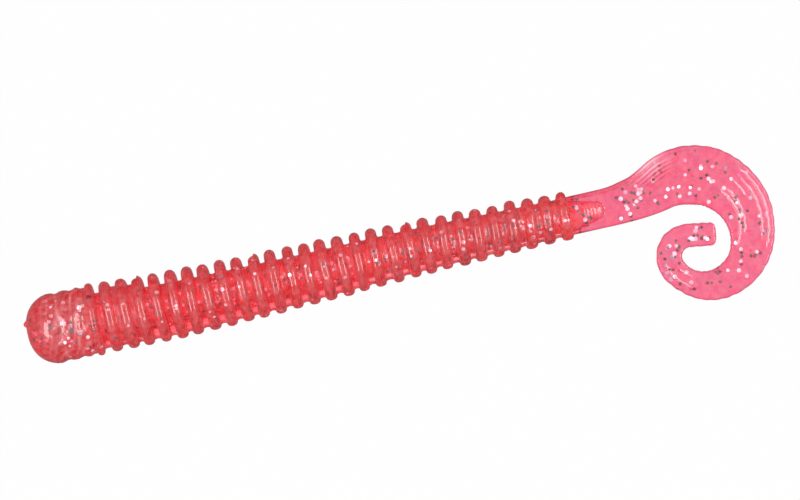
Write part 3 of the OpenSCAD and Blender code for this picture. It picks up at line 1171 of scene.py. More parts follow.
    def ring(self, i: int, draws: np.ndarray, phi: np.ndarray) -> tuple[np.ndarray, np.ndarray, int]:
        """Rows of one ring from the middle of the groove before it to the middle of the groove behind it.

        Args:
            i: number of the ring.
            draws: six normal draws that set its own small changes.
            phi: angles of the columns.

        Returns:
            Distance along and radius, each shaped (rows, columns), and the number of rows up to the crest.
        """
        own = self.changes
        spread, lean_y, lean_z, shift, swell, fin = draws
        width = self.ring_w * (own.wider + own.spread * np.clip(spread, -own.spread_limit, own.spread_limit))
        rise = own.rise
        if i == 1:
            width, rise = width * own.first_width, own.first_rise
        crest = self.crest_r(self.ring_x(i)) * (1 + own.swell * swell) + rise
        for (count, size), lean in zip(own.waves, (lean_y, lean_z)):
            crest = crest + size * np.sin(count * phi + lean)
        back = np.minimum(phi, 2 * math.pi - phi)
        crest = crest + own.fin * np.clip(fin, 0, own.fin_limit) * bell(back, own.fin_width)
        nick = dict(own.nicks).get(i, 0.0) * np.exp(-(back / own.nick_width) ** 4)
        front_u, front_r = self.half_ring(i, i - 1, crest - nick, width, phi)
        rear_u, rear_r = self.half_ring(i, i, crest, width, phi)
        u = np.concatenate([front_u, rear_u[::-1][1:]])
        r = np.concatenate([front_r, rear_r[::-1][1:]])
        tilt = own.lean_y * lean_y * np.cos(phi) + own.lean_z * lean_z * np.sin(phi) + own.shift * shift
        hold = smooth((self.ring_pitch / 2 - np.abs(u)) / own.hold)
        return self.ring_x(i) + u + hold * (tilt - own.forward), r, len(front_u)

    def grid(self) -> tuple[np.ndarray, np.ndarray, np.ndarray, list[int]]:
        """The whole body as rows from the nose to the back face of the last ring.

        Returns:
            Distance along, radius, angles of the columns, and the number of the row amid each groove.
        """
        phi = self.angles()
        rng = np.random.default_rng(self.changes.seed)
        stop = self.ring_x(1) - self.ring_pitch / 2
        parts = [self.nose.profile(phi, self.front_r, stop, self.collar_floors[0])]
        middles = []
        for i in range(1, self.ring_count + 1):
            middles.append(sum(len(x) for x, _ in parts))
            x, r, front_rows = self.ring(i, rng.normal(0, 1, 6), phi)
            last = i == self.ring_count
            parts.append(self.back_face(x, r, front_rows, phi) if last else (x[:-1], r[:-1]))
        x, r = (np.concatenate(rows) for rows in zip(*parts))
        return x, r, phi, middles

    def back_face(self, x: np.ndarray, r: np.ndarray, half_rows: int, phi: np.ndarray
                  ) -> tuple[np.ndarray, np.ndarray]:
        """Rows of the last ring with its rear half replaced by a flat face down to the tail stalk.

        Args:
            x: distance along of the ring's rows.
            r: radius of the ring's rows.
            half_rows: number of rows up to the crest.
            phi: angles of the columns.

        Returns:
            Distance along and radius of the new rows. The last row follows the stalk's outline.
        """
        crest, rim = r[half_rows - 1], self.back_round
        stop = self.tail.path.start[0]
        q = quarter_turn(self.rim_rows)[1:]
        over_x = stop - rim + rim * np.sin(q) + 0.0 * crest
        over_r = crest - rim * (1 - np.cos(q))
        t = np.linspace(0, 1, self.back_rows + 1)[1:, None]
        face_r = over_r[-1] + (self.stalk_outline(phi) - over_r[-1]) * t
        face_x = np.full_like(face_r, stop)
        return (np.concatenate([x[:half_rows], over_x, face_x]),
                np.concatenate([r[:half_rows], over_r, face_r]))

    def stalk_outline(self, phi: np.ndarray) -> np.ndarray:
        """Radius of the stalk's outline where it leaves the last ring, about the body's middle there.

        Args:
            phi: angles of the columns.

        Returns:
            The radius at each column.
        """
        v, z = self.tail.section(np.array([SEAM_GAP / 2]))[0].T
        x0, y0 = self.tail.path.start
        y = v + y0 - self.sway(x0)
        around = np.arctan2(z, y) % (2 * math.pi)
        order = np.argsort(around)
        return np.interp(phi, around[order], np.hypot(y, z)[order], period=2 * math.pi)

    def place(self, x: np.ndarray, r: np.ndarray, phi: np.ndarray) -> np.ndarray:
        """Worm coordinates of points of the body, pressed flat underneath where it rests on the floor.

        Args:
            x: distance along the axis.
            r: radius.
            phi: angle from the back round by the top.

        Returns:
            The points, with a last axis of three.
        """
        height = np.maximum(r * np.sin(phi), self.floor_gap - self.front_r)
        return np.stack([x + self.squeeze(x, r, phi), self.sway(x) + r * np.cos(phi), height], -1)

    def lines(self, x: np.ndarray, phi: np.ndarray) -> np.ndarray:
        """How dark or pale a line is at distance x along and angle phi.

        Dark lines follow the mould's parting along back and belly, and the shoulders of the rings' rims near
        them; their darkness is also painted shade of the body's outline there. Pale ones follow the foot and
        the rim of the keel between rings, the nose's notches, and the strokes that the plastic left as it
        flowed into the nose: the crests of a slanting wave, with dark ones in its troughs. The grooves and
        the keel's faces have a pale tint, and the flanks by the belly a dark one, which is painted shade.

        Args:
            x: distance along the axis.
            phi: angle from the back.

        Returns:
            The lines at each point, 1 for the darkest and -1 for the palest.
        """
        look = self.drawing
        gap = self.ring_pitch / 2
        ringed = smooth((x - self.first_ring + gap) / look.ringed_rise)
        off = np.abs((x - self.first_ring + gap) % self.ring_pitch - gap)
        groove = ringed * smooth((off - 0.5 * self.ring_w) / look.ring_edge)
        delta = np.abs(phi - math.pi)
        # Painted shade: the dark lines along back and belly, and along the rims' shoulders near them, darken
        # the body's outline.
        drawn = (1 - groove * (delta < look.parting_gap)) * look.parting.over(np.sin(phi))
        lobe = smooth((np.abs(np.cos(phi)) - look.lobe_from) / look.lobe_rise)
        # Painted shade: the flanks beside the belly get a dark tint here.
        drawn = drawn + ringed * (lobe * look.shoulder.over(off - 0.5 * self.ring_w) + look.flank.over(delta))
        foot = np.arcsin(0.5 * self.keel_t / self.core_r(x))
        rim = np.arcsin(0.5 * self.keel_t / self.keel_r(x))
        web = look.web * window(delta, rim, foot, look.web_flank, look.web_flank)
        keel = look.foot.over(delta - foot) + look.rim.over(delta - rim) + look.notch.over(delta - rim)
        drawn = drawn + groove * (look.groove + web + keel)
        wave = look.flow.at(x, phi)
        dark = smooth((-wave - look.flow_dark) / (1 - look.flow_dark))
        pale = smooth((wave - look.flow_pale) / (1 - look.flow_pale))
        nose = look.flow_tint * smooth((x - look.flow_start) / look.flow_rise) * (dark - pale)
        nose = nose + sum(look.swell.over(x - at) for at, _ in self.nose.notches)
        return np.clip(drawn + (1 - ringed) * nose, -1.0, 1.0)

    def sleeves(self, cuts: tuple[int, ...]) -> list[Shell]:
        """The body as closed shells that meet in the middle of some grooves.

        Args:
            cuts: numbers of the rings in front of those grooves.

        Returns:
            The shells from the nose to the last ring.
        """
        x, r, phi, middles = self.grid()
        stops = [0, *(middles[c] for c in cuts), len(x) - 1]
        return [self._sleeve(x[a:b + 1], r[a:b + 1], phi, a == 0) for a, b in pairwise(stops)]

    def _sleeve(self, x: np.ndarray, r: np.ndarray, phi: np.ndarray, first: bool) -> Shell:
        """One shell from its rows, closed by a fan of triangles at each end.

        Args:
            x: distance along the axis, shaped (rows, columns).
            r: radius, likewise.
            phi: angles of the columns.
            first: True for the shell that starts with the nose.

        Returns:
            The shell, with half the seam's gap taken off where it meets another.
        """
        x = x.copy()
        x[-1] -= SEAM_GAP / 2
        if not first:
            x[0] += SEAM_GAP / 2
        around = phi[None, :] + 0.0 * x
        rows = self.place(x, r, around)
        if first:
            rows = self.nose.with_nub(rows, float(self.sway(0.0)))
        n, cols = x.shape
        front_x = self.nose.start - self.nose.cap if first else x[0, 0]
        ends = self.place(np.array([front_x, x[-1, 0]]), np.zeros(2), np.zeros(2))
        j = np.arange(cols)
        k = (j + 1) % cols
        front = np.stack([np.full(cols, n * cols), k, j], -1)
        rear = np.stack([np.full(cols, n * cols + 1), (n - 1) * cols + j, (n - 1) * cols + k], -1)
        caps = np.concatenate([front, rear])
        return Shell(rows, self.lines(x, around), wrapped_quads(n, cols, False), caps, ends,
                     seam_tris=cols * (1 if first else 2))


@dataclass(frozen=True)
class ClearPlastic:
    """Glossy clear soft plastic that takes more of the light the deeper it goes.

    Attributes:
        name: name of the material.
        slot: material slot of the record that it stands for.
        roughness: blur of what is seen through it.
        absorb: colour that the plastic lets through best.
        line_and_shade_colour: what a dark line lets through; the dark lines include painted shade along
        outlines, steps, creases and the belly's flanks.
        haze: share of light that its faint cloudiness scatters.
        haze_colour: colour of that light.
        haze_range: least and most of that share, beside its mean.
        cloud_range: noise from which to which the cloudiness grows.
        mottle: tint of the patches where it is a little deeper in colour.
        mottle_scale: how many patches there are in a metre.
        mottle_detail: how finely they are broken up.
        pale: share of light that a pale line scatters.
        pale_colour: colour of that light.
        dust: share of light that the finest specks in it scatter.
        dust_scale: how many of those specks there are in a metre.
        dust_range: noise from which to which a speck grows.
        density: how strongly it absorbs, per metre.
        ior: how strongly it bends light.
        coat_ior: how strongly its wet-looking skin mirrors.
        gloss: blur of that skin.
        peel: strength of the fine orange-peel bump.
        peel_scale: how many bumps there are in a metre.
        peel_detail: how finely they are broken up.
        peel_height: height of the bumps in metres.
        peel_change: share by which the bumps change the roughness.
    """

    name: str
    slot: str
    roughness: float
    absorb: Colour
    line_and_shade_colour: Colour
    haze: float
    haze_colour: Colour = (0.92, 0.37, 0.39)
    haze_range: tuple[float, float] = (0.4, 1.6)
    cloud_range: tuple[float, float] = (0.35, 0.65)
    mottle: Colour = (1.0, 0.84, 0.88)
    mottle_scale: float = 1300.0
    mottle_detail: float = 3.0
    pale: float = 0.5
    pale_colour: Colour = (1.0, 0.68, 0.7)
    dust: float = 0.2
    dust_scale: float = 4500.0
    dust_range: tuple[float, float] = (0.6, 0.75)
    density: float = 1600.0
    ior: float = 1.42
    coat_ior: float = 1.4
    gloss: float = 0.03
    peel: float = 0.04
    peel_scale: float = 1800.0
    peel_detail: float = 4.0
    peel_height: float = 0.00008
    peel_change: float = 0.1

    def material(self) -> bpy.types.Material:
        """Build the node material: hazy glass with absorption inside, and clear faces where two sleeves meet.

        Returns:
            The new material.
        """
        mat = bpy.data.materials.new(self.name)
        mat.use_nodes = True
        mat.node_tree.nodes.clear()
        graph = Graph(mat.node_tree)
        coords = graph.add("TexCoord").outputs["Object"]
        line = graph.value_of("line")
        clouds = graph.noise(coords, self.mottle_scale, self.mottle_detail)
        hazed = self._hazed(graph, self._glass(graph, coords, line, clouds), coords, line, clouds)
        clear = graph.add("BsdfTransparent").outputs["BSDF"]
        skin = graph.blend(graph.add("LightPath").outputs["Is Shadow Ray"], hazed, clear)
        inside = graph.add("VolumeAbsorption", {"Color": (*self.absorb, 1), "Density": self.density})
        graph.add("OutputMaterial", {"Surface": graph.blend(graph.value_of("seam"), skin, clear),
                                     "Volume": inside.outputs["Volume"]})
        return mat

    def _glass(self, graph: Graph, coords: bpy.types.NodeSocket, line: bpy.types.NodeSocket,
               clouds: bpy.types.NodeSocket) -> bpy.types.NodeSocket:
        """Clear shader with a coat, fine bumps, patches and dark lines, some of them painted shade.

        Args:
            graph: graph of the material.
            coords: place on the piece.
            line: how dark or pale a line is there.
            clouds: noise of the patches.

        Returns:
            The shader.
        """
        patch = graph.mix(clouds, (*WHITE, 1), (*self.mottle, 1))
        height = graph.noise(coords, self.peel_scale, self.peel_detail)
        rough = tuple(self.roughness * share for share in (1 - self.peel_change, 1 + self.peel_change))
        bump = graph.add("Bump", {"Height": height, "Strength": self.peel, "Distance": self.peel_height})
        return graph.add("BsdfPrincipled", {
            # Painted shade: the dark lines and tints, outlines, steps, creases and the belly's flanks among
            # them, darken the colour here.
            "Base Color": graph.mix(line, patch, (*self.line_and_shade_colour, 1)),
            "Transmission Weight": 1.0, "IOR": self.ior, "Roughness": graph.scale(height, (0, 1), rough),
            "Coat Weight": 1.0, "Coat Roughness": self.gloss, "Coat IOR": self.coat_ior,
            "Normal": bump.outputs["Normal"], "Coat Normal": bump.outputs["Normal"]}).outputs["BSDF"]

    def _hazed(self, graph: Graph, glass: bpy.types.NodeSocket, coords: bpy.types.NodeSocket,
               line: bpy.types.NodeSocket, clouds: bpy.types.NodeSocket) -> bpy.types.NodeSocket:
        """Add what scatters light to the clear shader: faint clouds, fine specks and pale lines.

        Args:
            graph: graph of the material.
            glass: the clear shader.
            coords: place on the piece.
            line: how dark or pale a line is there.
            clouds: noise of the patches.

        Returns:
            The shader of both.
        """
        pale = graph.scale(line, (0, -1), (0, 1))
        cloudy = graph.scale(clouds, self.cloud_range, tuple(self.haze * share for share in self.haze_range))
        grain = graph.noise(coords, self.dust_scale)
        dusty = graph.math("ADD", graph.scale(grain, self.dust_range, (0, self.dust)), cloudy)
        share = graph.add("Math", {0: pale, 1: self.pale, 2: dusty}, operation="MULTIPLY_ADD").outputs[0]
        colour = graph.mix(pale, (*self.haze_colour, 1), (*self.pale_colour, 1))
        return graph.blend(share, glass, graph.add("BsdfDiffuse", {"Color": colour}).outputs["BSDF"])


THICK_PLASTIC = ClearPlastic(
    "clear_coral_plastic", "body_plastic", roughness=0.26, absorb=(0.98, 0.15, 0.28),
    line_and_shade_colour=(0.55, 0.06, 0.09), haze=0.125, haze_colour=(0.92, 0.43, 0.48), mottle=(0.93, 0.75, 0.8),
    mottle_scale=1700.0)
THIN_PLASTIC = ClearPlastic(
    "clear_pink_plastic", "thin_plastic", roughness=0.12, absorb=(0.99, 0.125, 0.52),
    line_and_shade_colour=(0.6, 0.07, 0.15), haze=0.13, mottle=(1.0, 0.74, 0.81))


@dataclass(frozen=True)
class GlitterFilm:
    """Finish of one kind of flake, whose colour goes over a ramp from flake to flake.

    Attributes:
        name: name of the material.
        stops: place and colour of each stop of the ramp, its two ends first.
        metallic: how metallic the film is.
        roughness: blur of what it mirrors.
    """

    name: str
    stops: tuple[tuple[float, Colour], ...]
    metallic: float
    roughness: float

    def material(self) -> bpy.types.Material:
        """Build the node material from the flakes' own tint value.

        Returns:
            The new material.
        """
        mat = bpy.data.materials.new(self.name)
        mat.use_nodes = True
        graph = Graph(mat.node_tree)
        ramp = graph.add("ValToRGB", {"Fac": graph.value_of("tint")})
        elements = ramp.color_ramp.elements
        for k, (at, colour) in enumerate(self.stops):
            stop = elements[k] if k < 2 else elements.new(at)
            stop.position = at
            stop.color = (*colour, 1)
        graph.wire(mat.node_tree.nodes["Principled BSDF"], {
            "Base Color": ramp.outputs["Color"], "Metallic": self.metallic, "Roughness": self.roughness})
        return mat


FILMS = {
    Glitter.SILVER: GlitterFilm("silver_glitter_film", (
        (0.0, (0.35, 0.36, 0.42)), (1.0, (0.97, 0.97, 0.97)), (0.15, (0.62, 0.66, 0.78)),
        (0.3, (0.92, 0.92, 0.94)), (0.6, (0.98, 0.95, 0.97))), metallic=0.65, roughness=0.28),
    Glitter.DARK: GlitterFilm("dark_glitter_film", (
        (0.0, (0.03, 0.012, 0.016)), (1.0, (0.2, 0.09, 0.11)), (0.7, (0.07, 0.025, 0.035))),
        metallic=0.0, roughness=0.5),
}


class Places(NamedTuple):
    """Where the flakes of one part of the worm lie, with one entry for each.

    Attributes:
        centre: their centres, shaped (n, 3).
        face: their facings, of any length, shaped (n, 3).
        along: their lengthwise positions: x on the body, and TAIL_BASE plus the path's distance on the tail.
        dark: chance that each is dark.
        grow: what is added to each one's share of the full size.
    """

    centre: np.ndarray
    face: np.ndarray
    along: np.ndarray
    dark: np.ndarray
    grow: np.ndarray


class Flakes(NamedTuple):
    """All flakes, with one entry for each.

    Attributes:
        centre: their centres, shaped (n, 3).
        face: their facings, of length 1, shaped (n, 3).
        size: their half widths.
        tint: where on the film's ramp each one's colour lies.
        kind: 0 for silver and 1 for dark.
        along: their lengthwise positions.
    """

    centre: np.ndarray
    face: np.ndarray
    size: np.ndarray
    tint: np.ndarray
    kind: np.ndarray
    along: np.ndarray


def every_third(count: int) -> np.ndarray:
    """True for each third flake, which lies close to the one before it."""
    return np.arange(count) % 3 == 2


@dataclass(frozen=True)
class BodyScatter:
    """How flakes lie in the body: under the skin of the nose, in the grooves' floors and in the rings' rims.

    Starts and ends are distances along the axis. Every third flake lies close to the one before it, at the
    usual distances near_x and near_turn. The nose_ values shape the room for flakes in the nose, and the rim_
    values are for those in rims. A skin is the least depth under the surface, a depth is what is added to it
    at most, and a power is that of its draw. Tilts are usual slopes against the skin, and dark values are
    chances of a dark flake. swirl is how much the flakes gather on top and underneath, in radians.
    """

    count: int = 1100
    start: float = 1.2
    end: float = 64.3
    swirl: float = 0.3
    near_x: float = 0.55
    near_turn: float = 0.18
    ring_share: float = 0.24
    ring_start: float = 8.0
    ring_spread: float = 0.12
    groove_start: float = 8.6
    groove_spread: float = 0.3
    nose_end: float = 7.5
    nose_x: float = 0.2
    nose_len: float = 3.4
    nose_r: float = 3.95
    nose_least: float = 0.02
    nose_power: float = 0.42
    nose_grow: float = 0.15
    skin: float = 0.07
    depth: float = 0.16
    depth_power: float = 0.5
    front_end: float = 3.0
    front_skin: float = 0.35
    least_r: float = 0.1
    rim_skin: float = 0.1
    rim_depth: float = 0.25
    rim_power: float = 1.5
    tilt: float = 0.32
    rim_tilt: float = 0.12
    dark: float = 0.3
    rim_dark: float = 0.12
    rear_dark: float = 0.2
    rear_start: float = 38.0
    rear_rise: float = 12.0

    def draw(self, rng: np.random.Generator, body: BodyForm) -> Places:
        """Scatter the flakes, first along and round the axis, then in or between rings, then by depth.

        Args:
            rng: generator of the draws.
            body: body that they lie in.

        Returns:
            Where they lie.
        """
        n = self.count
        x = rng.uniform(self.start, self.end, n)
        phi = rng.uniform(0, 2 * math.pi, n)
        phi = phi + self.swirl * np.sin(2 * phi)
        near = every_third(n)
        x = np.where(near, np.roll(x, 1) + rng.normal(0, self.near_x, n), x)
        phi = np.where(near, np.roll(phi, 1) + rng.normal(0, self.near_turn, n), phi)
        x = np.clip(x, self.start, self.end)
        i = np.clip(np.round((x - body.first_ring) / body.ring_pitch), 0, body.ring_count - 1)
        at = body.first_ring + i * body.ring_pitch
        ring = (rng.uniform(0, 1, n) < self.ring_share) & (x > self.ring_start)
        off = 0.5 * body.ring_pitch - self.groove_spread * rng.uniform(0, 1, n)
        between = np.minimum(at + np.where(x > at, 1, -1) * off, self.end)
        inside = np.where(x > self.groove_start, between, x)
        x = np.where(ring, at + rng.normal(0, self.ring_spread, n), inside)
        r = self._radius(rng, body, x, at, ring)
        out = np.stack([0.0 * phi, np.cos(phi), np.sin(phi)], -1)
        face = out + rng.normal(0, 1, (n, 3)) * np.where(ring, self.rim_tilt, self.tilt)[:, None]
        dark = np.where(ring, self.rim_dark, self.dark)
        dark = dark + self.rear_dark * smooth((x - self.rear_start) / self.rear_rise)
        return Places(body.place(x, r, phi), face, x, dark, np.where(x < self.nose_end, self.nose_grow, 0.0))

    def _radius(self, rng: np.random.Generator, body: BodyForm, x: np.ndarray, at: np.ndarray,
                ring: np.ndarray) -> np.ndarray:
        """Distances of flakes from the axis.

        Args:
            rng: generator of the draws.
            body: body that they lie in.
            x: where they lie along the axis.
            at: where the ring next to each lies.
            ring: True for those in rims.

        Returns:
            The distance of each.
        """
        front = np.clip((x - self.nose_x) / self.nose_len, self.nose_least, 1)
        room = np.where(x < self.nose_end, self.nose_r * front ** self.nose_power, body.core_r(x))
        skin = self.skin + np.where(x < self.front_end, self.front_skin, 0.0)
        inner = room - skin - self.depth * rng.power(self.depth_power, self.count)
        deep = rng.uniform(0, 1, self.count) ** self.rim_power
        rim = body.crest_r(at) - self.rim_skin - self.rim_depth * deep
        return np.where(ring, rim, np.clip(inner, self.least_r, None))


@dataclass(frozen=True)
class FlakePatch:
    """A run of the tail's flakes that lie closer together.

    Attributes:
        first: number of its first flake.
        last: number after its last flake.
        start: where it starts along the path.
        end: where it ends.
        dark: share of dark flakes in it.
    """

    first: int
    last: int
    start: float
    end: float
    dark: float


@dataclass(frozen=True)
class TailScatter:
    """How flakes lie in the tail, under both of its faces.

    Every third flake lies close to the one before it, at the usual distances near_s along and near_v across,
    and near_share as far from the middle line. Flakes are drawn edge_gap from the edges or more, and then
    held a margin away. The low values let them lie deeper towards the outer edge, under the terraces. A skin
    is the least depth under a face, a depth is what is added to it at most, and a power is that of its draw.
    The tilt is the usual slope against the face, and dark is the chance of a dark flake outside the patches.
    """

    count: int = 205
    patches: tuple[FlakePatch, ...] = (
        FlakePatch(0, 36, 5.5, 14.0, 0.5), FlakePatch(36, 72, 15.0, 26.0, 0.45),
        FlakePatch(72, 114, 25.0, 47.4, 0.55), FlakePatch(114, 128, 0.4, 1.9, 0.85))
    start: float = 0.4
    end_gap: float = 0.45
    near_s: float = 0.5
    near_v: float = 0.35
    near_share: float = 0.85
    edge_gap: float = 0.42
    margin: float = 0.35
    margin_more: float = 0.4
    under_share: float = 0.3
    low: float = 0.3
    low_from: float = 0.5
    low_rise: float = 2.0
    skin: float = 0.05
    depth: float = 0.14
    depth_power: float = 1.6
    tilt: float = 0.13
    dark: float = 0.45

    def draw(self, rng: np.random.Generator, tail: TailForm) -> Places:
        """Scatter the flakes, first along and across the path, then by depth.

        Args:
            rng: generator of the draws.
            tail: tail that they lie in.

        Returns:
            Where they lie.
        """
        m = self.count
        end = tail.length() - self.end_gap
        s = rng.uniform(self.start, end, m)
        dark = np.full(m, self.dark)
        for patch in self.patches:
            run = slice(patch.first, patch.last)
            s[run] = rng.uniform(patch.start, patch.end, patch.last - patch.first)
            dark[run] = patch.dark
        across = rng.uniform(-1, 1, m)
        near = every_third(m)
        s = np.where(near, np.clip(np.roll(s, 1) + rng.normal(0, self.near_s, m), self.start, end), s)
        inner, outer = tail.outline(s)
        v = (outer - inner) / 2 + across * ((inner + outer) / 2 - self.edge_gap)
        v = np.where(near, self.near_share * np.roll(v, 1) + rng.normal(0, self.near_v, m), v)
        margin = self.margin + self.margin_more * rng.uniform(0, 1, m)
        v = np.clip(v, -inner + margin, outer - margin)
        blade = tail.half_thickness(s) - self.low * smooth((v - self.low_from) / self.low_rise)
        side = np.where(rng.uniform(0, 1, m) < self.under_share, -1, 1)
        depth = self.skin + self.depth * rng.uniform(0, 1, m) ** self.depth_power
        z = side * (np.maximum(blade, tail.tongue(s, v)) - depth)
        face = np.stack([rng.normal(0, self.tilt, m), rng.normal(0, self.tilt, m), np.ones(m)], -1)
        return Places(tail.point(s, v, z), face, TAIL_BASE + s, dark, np.zeros(m))


@dataclass(frozen=True)
class FlakeSet:
    """Flakes of both kinds, scattered through the body and the tail, some in clusters.

    Attributes:
        body: body that they lie in, with its tail.
        in_body: how they lie in the body.
        in_tail: how they lie in the tail.
        width: full width of a flake across its flats.
        thickness: thickness of a flake.
        sizes: least and largest share of the full size.
        body_sizes: least and largest share of that in the body.
        kind_sizes: share of that for silver and for dark flakes, in the body and in the tail.
        turn_rate: how far a flake turns in its own plane over the range of tints, in radians.
        seed: seed of the draws.
    """

    body: BodyForm
    in_body: BodyScatter = BodyScatter()
    in_tail: TailScatter = TailScatter()
    width: float = 0.5
    thickness: float = 0.03
    sizes: tuple[float, float] = (0.75, 1.05)
    body_sizes: tuple[float, float] = (0.45, 0.9)
    kind_sizes: tuple[tuple[float, float], ...] = ((1.05, 1.0), (0.92, 0.78))
    turn_rate: float = 40.0
    seed: int = 5

    def scatter(self) -> Flakes:
        """Draw all flakes: their places, then their sizes, kinds and tints.

        Returns:
            The flakes, those in the body first.
        """
        rng = np.random.default_rng(self.seed)
        parts = (self.in_body.draw(rng, self.body), self.in_tail.draw(rng, self.body.tail))
        centre, face, along, dark, grow = (np.concatenate(values) for values in zip(*parts))
        face = face / np.linalg.norm(face, axis=1, keepdims=True)
        n, count = self.in_body.count, len(along)
        size = self.width / math.sqrt(3) * rng.uniform(*self.sizes, count)
        size[:n] *= rng.uniform(*self.body_sizes, n) + grow[:n]
        kind = (rng.uniform(0, 1, count) < dark).astype(int)
        size = size * np.array(self.kind_sizes)[(np.arange(count) >= n).astype(int), kind]
        return Flakes(centre, face, size, rng.uniform(0, 1, count), kind, along)

    def piece(self, name: str, seat: Seat, finish: bpy.types.Material, pick: np.ndarray, flakes: Flakes
              ) -> bpy.types.Object:
        """Make one mesh of the picked flakes, each a thin six-sided plate.

        A plate's corners lie at sixths of a turn about its centre in the plane square to its facing.

        Args:
            name: name of the piece.
            seat: where worm millimetres lie in the frame.
            finish: material of the flakes.
            pick: True for each flake that belongs to the piece.
            flakes: all flakes.

        Returns:
            The new object.
        """
        centre, face, size, tint = (values[pick] for values in flakes[:4])
        helper = np.where(np.abs(face[:, :1]) < 0.8, [[1.0, 0.0, 0.0]], [[0.0, 1.0, 0.0]])
        one = np.cross(face, helper)
        one /= np.linalg.norm(one, axis=1, keepdims=True)
        two = np.cross(face, one)
        k = np.arange(6)
        turn = (k * math.pi / 3)[None, :, None] + (tint * self.turn_rate)[:, None, None]
        rim = size[:, None, None] * (np.cos(turn) * one[:, None] + np.sin(turn) * two[:, None])
        lift = 0.5 * self.thickness * face[:, None]
        points = np.concatenate([centre[:, None] + rim + lift, centre[:, None] + rim - lift], axis=1)
        base = np.arange(len(centre))[:, None] * 12
        side = base[:, :, None] + np.stack([k, k + 6, (k + 1) % 6 + 6, (k + 1) % 6], -1)[None]
        faces = (base + k).tolist() + (base + 6 + k[::-1]).tolist() + side.reshape(-1, 4).tolist()
        piece = link_mesh(name, seat.place(points.reshape(-1, 3)), faces, finish)
        store(piece.data, "tint", "FLOAT", "POINT", np.repeat(tint, 12).astype(np.float32))
        return piece


@dataclass(frozen=True)
class Stretch:
    """One sleeve's place in the assembly.

    Attributes:
        name: first part of the names of its pieces.
        joint: joint that it lies across, or an empty name where it rides on one body.
        bodies: the body before the joint and the one after, or the one it rides on.
        heading: direction of the bend zone in degrees from +X; not used.
        zone: half the length of the bend zone; not used.
        slot: material slot of its plastic.
        nodes: CAD nodes that its plastic stands for.
        flakes: first parts of the names of the flake nodes that its flakes stand for.
    """

    name: str
    joint: str
    bodies: tuple[str, ...]
    heading: float
    zone: float
    slot: str
    nodes: tuple[str, ...]
    flakes: tuple[str, ...]

    def seat_on(self, piece: bpy.types.Object) -> None:
        """Let a piece ride on the one body, or, where it lies across a joint, bake its place into its mesh.

        Args:
            piece: the piece.
        """
        if not self.joint:
            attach(piece, self.bodies[0])
            return
        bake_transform(piece)

    def dress(self, piece: bpy.types.Object, slot: str, nodes: tuple[str, ...]) -> bpy.types.Object:
        """Set a piece on its bodies, and hide the CAD nodes that it stands for.

        Args:
            piece: the piece.
            slot: its material slot; not used.
            nodes: CAD nodes that it stands for, if any.

        Returns:
            The same piece.
        """
        self.seat_on(piece)
        if nodes:
            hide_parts(*nodes)
        return piece


BODY_CUTS = (8, 15, 22)
TAIL_CUTS = (0.0, 11.1, 25.5, 39.0)
STRETCHES = (
    Stretch("neck", "neck_bend", ("head", "shoulder"), 0, 5.5, "body_plastic",
            ("nose", "head_rings", "neck_joint_ring"), ("head",)),
    Stretch("front", "front_bend", ("shoulder", "middle"), 0, 5.5, "body_plastic",
            ("shoulder_rings", "front_joint_ring"), ("shoulder",)),
    Stretch("rear", "rear_bend", ("middle", "waist"), 0, 5.5, "body_plastic",
            ("middle_rings", "rear_joint_ring"), ("middle",)),
    Stretch("stern", "stern_bend", ("waist", "stern"), 0, 5.5, "body_plastic",
            ("waist_rings", "stern_joint_ring", "stern_rings"), ("waist", "stern")),
    Stretch("root", "tail_flap", ("stern", "blade"), 3.86, 2.8, "thin_plastic",
            ("tail_stalk", "tail_hinge_strip"), ("blade",)),
    Stretch("crown", "crown_curl", ("blade", "sweep"), -29, 2.9, "thin_plastic",
            ("tail_blade", "tail_crown_strip"), ("sweep",)),
    Stretch("heel", "heel_curl", ("sweep", "hook"), -170, 2.9, "thin_plastic",
            ("tail_sweep", "tail_heel_strip"), ("hook",)),
    Stretch("tip", "", ("hook",), 0, 0, "thin_plastic", ("tail_hook",), ()),
)


@dataclass
class Worm:
    """The whole worm: eight sleeves of plastic with their flakes.

    Attributes:
        seat: where worm millimetres lie in the frame.
        body: form of the body, with its tail.
        flakes: the flakes.
        plastics: finish of each slot of plastic.
    """

    seat: Seat
    body: BodyForm
    flakes: FlakeSet
    plastics: tuple[ClearPlastic, ...]

    def spans(self) -> list[tuple[float, float]]:
        """Lengthwise positions at which each sleeve's flakes start and end.

        Returns:
            Start and end for each sleeve, from the nose to the tip.
        """
        tail = self.body.tail
        grooves = (self.body.ring_x(cut) + self.body.ring_pitch / 2 for cut in BODY_CUTS)
        on_tail = (TAIL_BASE + s for s in (*TAIL_CUTS, tail.length()))
        return [*pairwise((0.0, *grooves, tail.path.start[0])), *pairwise(on_tail)]

    def build(self) -> list[bpy.types.Object]:
        """Make every piece, set it on its bodies and hide the CAD nodes it stands for.

        Returns:
            The new pieces.
        """
        plastic = {finish.slot: finish.material() for finish in self.plastics}
        films = {glitter: film.material() for glitter, film in FILMS.items()}
        tail = self.body.tail
        shells = self.body.sleeves(BODY_CUTS)
        shells += [tail.sleeve(a, b, b < tail.length()) for a, b in pairwise((*TAIL_CUTS, tail.length()))]
        flakes = self.flakes.scatter()
        pieces = []
        for stretch, shell, (start, end) in zip(STRETCHES, shells, self.spans()):
            piece = shell.piece(f"{stretch.name}_plastic", self.seat, plastic[stretch.slot])
            pieces.append(stretch.dress(piece, stretch.slot, stretch.nodes))
            inside = (flakes.along >= start) & (flakes.along < end)
            for number, glitter in enumerate(Glitter):
                name = f"{stretch.name}_{glitter.value}"
                pick = inside & (flakes.kind == number)
                piece = self.flakes.piece(name, self.seat, films[glitter], pick, flakes)
                nodes = tuple(f"{part}_{glitter.value}_flakes" for part in stretch.flakes)
                pieces.append(stretch.dress(piece, f"{glitter.value}_glitter", nodes))
        return pieces


